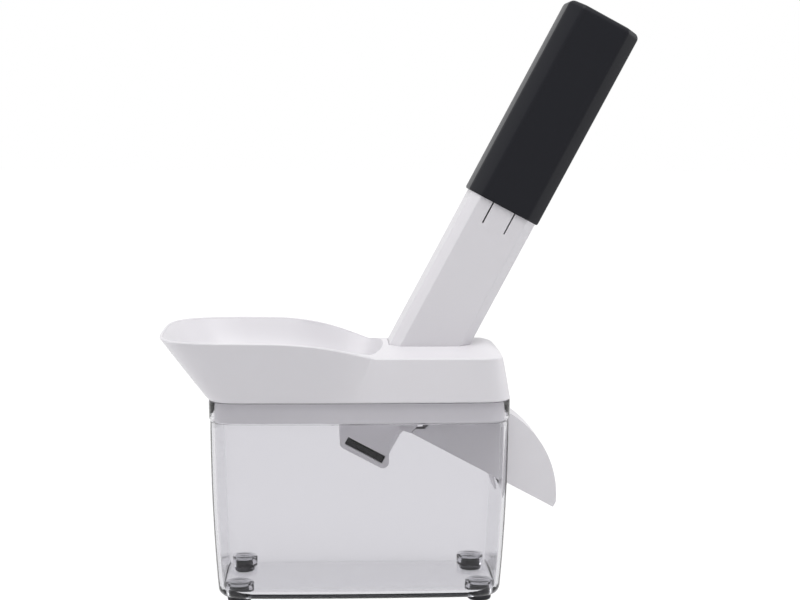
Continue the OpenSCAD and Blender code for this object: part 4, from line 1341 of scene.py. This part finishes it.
@dataclass
class Handle(SubAssembly):
    """The dark grip, the white shaft and the pieces inside them."""

    axis: HandleAxis = HandleAxis()
    grip_start: float = 74.4
    grip_end: float = 177.4
    grip_end_round: float = 2.9
    grip_size: tuple[float, float] = (37.5, 34.0)
    grip_chamfer: float = 6.5
    spring_r: float = 7.6
    spring_wire: float = 1.2
    spring_low: float = -10.0
    spring_high: float = 96.6
    spring_turns: float = 15.0
    spring_keep: float = 0.615
    shaft_front: float = -15.5
    shaft_wall: float = 2.0
    slit_u: float = 5.8
    slit_width: float = 0.7
    slit_low: float = 63.4
    slit_high: float = 95.4

    def grip(self) -> Thing:
        """The grip, with a rounded lower edge and a rounded end."""
        width, depth = self.grip_size
        lo, hi, r = self.grip_start, self.grip_end, self.grip_end_round
        rows = [(lo + 0.9, 1.35), (lo, 1.2), (lo, 0.75), (lo + 0.12, 0.4), (lo + 0.45, 0.12), (lo + 1.0, 0.0)]
        rows += [(s, 0.0) for s in np.linspace(lo + 6, hi - 8, 14)]
        rows += [(hi - 0.35 - r * (1 - math.sin(a)), r * (1 - math.cos(a))) for a in np.linspace(0, 1.45, 8)]
        rows += [(hi - 0.2, 5.0), (hi - 0.05, 9.0), (hi, 13.5)]
        rings = []
        for s, inset in rows:
            chamfer = max(1.2, self.grip_chamfer - 0.6 * inset)
            rings.append(self.axis.ring(chamfered_plan(width - 2 * inset, depth - 2 * inset, chamfer, 4), s))
        piece = self.bench.solid("dark_grip", rings, self.shelf.charcoal, 32.0)
        return settle(piece, Body.HANDLE, "handle_grip")

    def bar(self, u: tuple[float, float], s: tuple[float, float], front: float) -> Thing:
        """A block in the shaft's front wall.

        Args:
            u: Its lowest and highest u.
            s: Its lowest and highest s.
            front: Y of its front face.

        Returns:
            The block.
        """
        back = self.shaft_front + self.shaft_wall
        plan = np.array([(u[0], front), (u[1], front), (u[1], back), (u[0], back)])
        return self.bench.solid("bar", [self.axis.ring(plan, level) for level in s], self.shelf.white)

    def shaft(self) -> Thing:
        """The shaft, whose slits are cut after its edges are rounded so that they stay thin."""
        low, high, at, half = self.slit_low, self.slit_high, self.slit_u, self.slit_width / 2
        piece = self.bench.copied("handle_shaft", self.shelf.white)
        plug = self.bar((-at - 1.0, at + 1.0), (low - 1.0, high + 1.0), self.shaft_front)
        self.bench.cleaned(self.bench.cut(piece, [plug], "UNION"))
        self.bench.rounded(piece, 0.55, 3)
        front = self.shaft_front - 1.0
        slits = [self.bar((side * at - half, side * at + half), (low, high), front) for side in (-1, 1)]
        slits.append(self.bar((-at, at), (high - 2 * half, high), front))
        return settle(self.bench.flattened(self.bench.cut(piece, slits)), Body.HANDLE, "handle_shaft")

    def spring(self) -> Thing:
        """The return spring, wound along the handle's axis."""
        name = "return_spring_coils"
        piece = self.bench.shown(name, bpy.data.meshes.new(name))
        length = self.spring_high - self.spring_low - self.spring_wire - 0.2
        coil_tree().run(self.bench, piece, {
            "Radius": self.spring_r * MM, "Wire": self.spring_wire / 2 * MM, "Length": length * MM,
            "Turns": self.spring_turns, "Finish": self.shelf.steel})
        middle = np.zeros((1, 2))
        foot = self.bench.place(self.axis.ring(middle, self.spring_low + self.spring_wire / 2 + 0.1))[0]
        lean = Matrix.Rotation(math.radians(90 - self.axis.angle_deg), 4, "Y")
        piece.data.transform(Matrix.Translation(Vector(foot)) @ lean)
        self.bench.smooth(piece.data, 60.0)
        settle(piece, Body.UPPER, "return_spring")
        anchor = self.bench.place(self.axis.ring(middle, self.spring_low))[0]
        tuple(self.axis.up)
        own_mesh(piece)
        return piece

    def build(self) -> None:
        """Builds the handle's pieces."""
        shelf = self.shelf
        self.grip()
        self.shaft()
        self.spring()
        for node, finish in (("plunger_rod", shelf.bearing), ("spring_cap", shelf.bearing),
                             ("pitting_pin", shelf.steel), ("rod_clip", shelf.steel),
                             ("pin_dowel", shelf.steel)):
            self.bench.refined(node, finish, 0.15, body=Body.HANDLE)


class PittingParts(SubAssembly):
    """The pieces under the housing: bracket, chute, gasket, stripper and washer."""

    def build(self) -> None:
        """Builds the pieces, each with edges rounded by its own width in millimetres."""
        shelf = self.shelf
        for node, finish, width, segments in (
                ("pitting_bracket", shelf.white, 0.4, 2), ("chute", shelf.white, 0.45, 3),
                ("gasket", shelf.rubber, 0.35, 2), ("stripper", shelf.white, 0.25, 2),
                ("stripper_screws", shelf.steel, 0.1, 2), ("spring_washer", shelf.steel, 0.15, 2)):
            self.bench.refined(node, finish, width, segments)


# ---- Studio ----

# Soft lamps: name, place in metres, edge length in metres and power in watts.
LAMPS = (("top_softbox", (0.1, -0.45, 1.5), 1.2, 17.2), ("left_softbox", (-1.35, 0.35, 0.7), 1.0, 5.6),
         ("right_softbox", (1.5, 0.25, 0.5), 1.0, 5.2))


@dataclass
class Studio:
    """The floor, the lamps, the white surroundings and the camera."""

    bench: Workbench
    camera_mm: tuple[float, float, float] = (-19.39, -858.16, 233.94)
    pitch_deg: float = 6.11
    turn_deg: float = 2.7
    roll_deg: float = 0.2
    focal_px: float = 1775.0
    sensor_mm: float = 36.0
    world_light: float = 0.38
    floor_half: float = 6.0
    floor_colour: Colour = (0.86, 0.86, 0.87)
    floor_glow: float = 1.16
    floor_glow_share: float = 0.85
    lamp_target: tuple[float, float, float] = (0.0, 0.0, 0.12)

    @staticmethod
    def white_where_seen(tree: bpy.types.NodeTree) -> Socket:
        """A factor of 1 where a ray from the camera, a gloss or a clear piece looks."""
        path = tree.nodes.new("ShaderNodeLightPath")
        first, second = tree.nodes.new("ShaderNodeMath"), tree.nodes.new("ShaderNodeMath")
        first.operation = second.operation = "MAXIMUM"
        tree.links.new(path.outputs["Is Camera Ray"], first.inputs[0])
        tree.links.new(path.outputs["Is Glossy Ray"], first.inputs[1])
        tree.links.new(first.outputs[0], second.inputs[0])
        tree.links.new(path.outputs["Is Transmission Ray"], second.inputs[1])
        return second.outputs[0]

    def world(self) -> None:
        """White surroundings, dimmer where they only light the object."""
        world = bpy.data.worlds.new("studio")
        world.use_nodes = True
        tree = world.node_tree
        tree.nodes.clear()
        mix, out = tree.nodes.new("ShaderNodeMixShader"), tree.nodes.new("ShaderNodeOutputWorld")
        tree.links.new(self.white_where_seen(tree), mix.inputs["Fac"])
        for slot, strength in ((1, self.world_light), (2, 1.0)):
            light = tree.nodes.new("ShaderNodeBackground")
            light.inputs["Color"].default_value = (1, 1, 1, 1)
            light.inputs["Strength"].default_value = strength
            tree.links.new(light.outputs[0], mix.inputs[slot])
        tree.links.new(mix.outputs[0], out.inputs["Surface"])
        bpy.context.scene.world = world

    def floor(self) -> None:
        """A wide pale floor that goes over into the white surroundings."""
        mesh, size = bpy.data.meshes.new("floor"), self.floor_half
        corners = [(-size, -size, 0), (size, -size, 0), (size, size, 0), (-size, size, 0)]
        mesh.from_pydata(corners, [], [(0, 1, 2, 3)])
        floor = self.bench.shown("floor", mesh)
        sheet = NodeSheet("pale_floor")
        matt = sheet.add("ShaderNodeBsdfDiffuse", Color=(*self.floor_colour, 1.0))
        glow = sheet.add("ShaderNodeEmission", Color=(1.0, 1.0, 1.0, 1.0), Strength=self.floor_glow)
        mix = sheet.add("ShaderNodeMixShader")
        share = sheet.add("ShaderNodeMath", operation="MULTIPLY")
        share.inputs[1].default_value = self.floor_glow_share
        sheet.link(self.white_where_seen(sheet.tree), share.inputs[0])
        sheet.link(share.outputs[0], mix.inputs["Fac"])
        sheet.link(matt.outputs[0], mix.inputs[1])
        sheet.link(glow.outputs[0], mix.inputs[2])
        mesh.materials.append(sheet.finish(mix.outputs["Shader"]))

    def lamps(self) -> None:
        """The square soft lamps, all turned to the object."""
        for name, place, size, watts in LAMPS:
            light = bpy.data.lights.new(name, "AREA")
            light.shape = "SQUARE"
            light.size = size
            light.energy = watts
            lamp = bpy.data.objects.new(name, light)
            lamp.location = place
            ahead = Vector(self.lamp_target) - Vector(place)
            lamp.rotation_euler = ahead.to_track_quat("-Z", "Y").to_euler()
            bpy.context.scene.collection.objects.link(lamp)

    def camera(self) -> None:
        """Sets the camera where the photograph was taken from."""
        turn, pitch, roll = (math.radians(a) for a in (self.turn_deg, self.pitch_deg, self.roll_deg))
        ahead = Vector((math.sin(turn) * math.cos(pitch), math.cos(turn) * math.cos(pitch), -math.sin(pitch)))
        side = ahead.cross(Vector((0, 0, 1))).normalized()
        above = side.cross(ahead)
        side, above = (math.cos(roll) * side + math.sin(roll) * above,
                       math.cos(roll) * above - math.sin(roll) * side)
        data = bpy.data.cameras.new("camera")
        data.sensor_width = self.sensor_mm
        data.lens = self.focal_px / PHOTO_WIDTH * data.sensor_width
        data.clip_end = 50.0
        camera = bpy.data.objects.new("camera", data)
        place = Vector(self.bench.place(np.array([self.camera_mm]))[0])
        camera.matrix_world = Matrix.Translation(place) @ Matrix((side, above, -ahead)).transposed().to_4x4()
        bpy.context.scene.collection.objects.link(camera)
        bpy.context.scene.camera = camera

    def build(self) -> None:
        """Builds the studio."""
        self.world()
        self.floor()
        self.lamps()
        self.camera()
        bpy.context.scene.view_settings.view_transform = "Standard"


def main() -> None:
    """Builds the pitter's visible pieces over the frame, and the studio round them."""
    logging.basicConfig(level=logging.INFO, format="%(name)s: %(message)s", stream=sys.stdout)
    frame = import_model()
    bench, shelf = Workbench(frame), FinishShelf()
    container = StoneContainer(bench, shelf)
    for part in (container, TurnedPieces(bench, shelf, container), Housing(bench, shelf),
                 PittingParts(bench, shelf), Handle(bench, shelf)):
        part.build()
    Studio(bench).build()


if __name__ == "__main__":
    main()
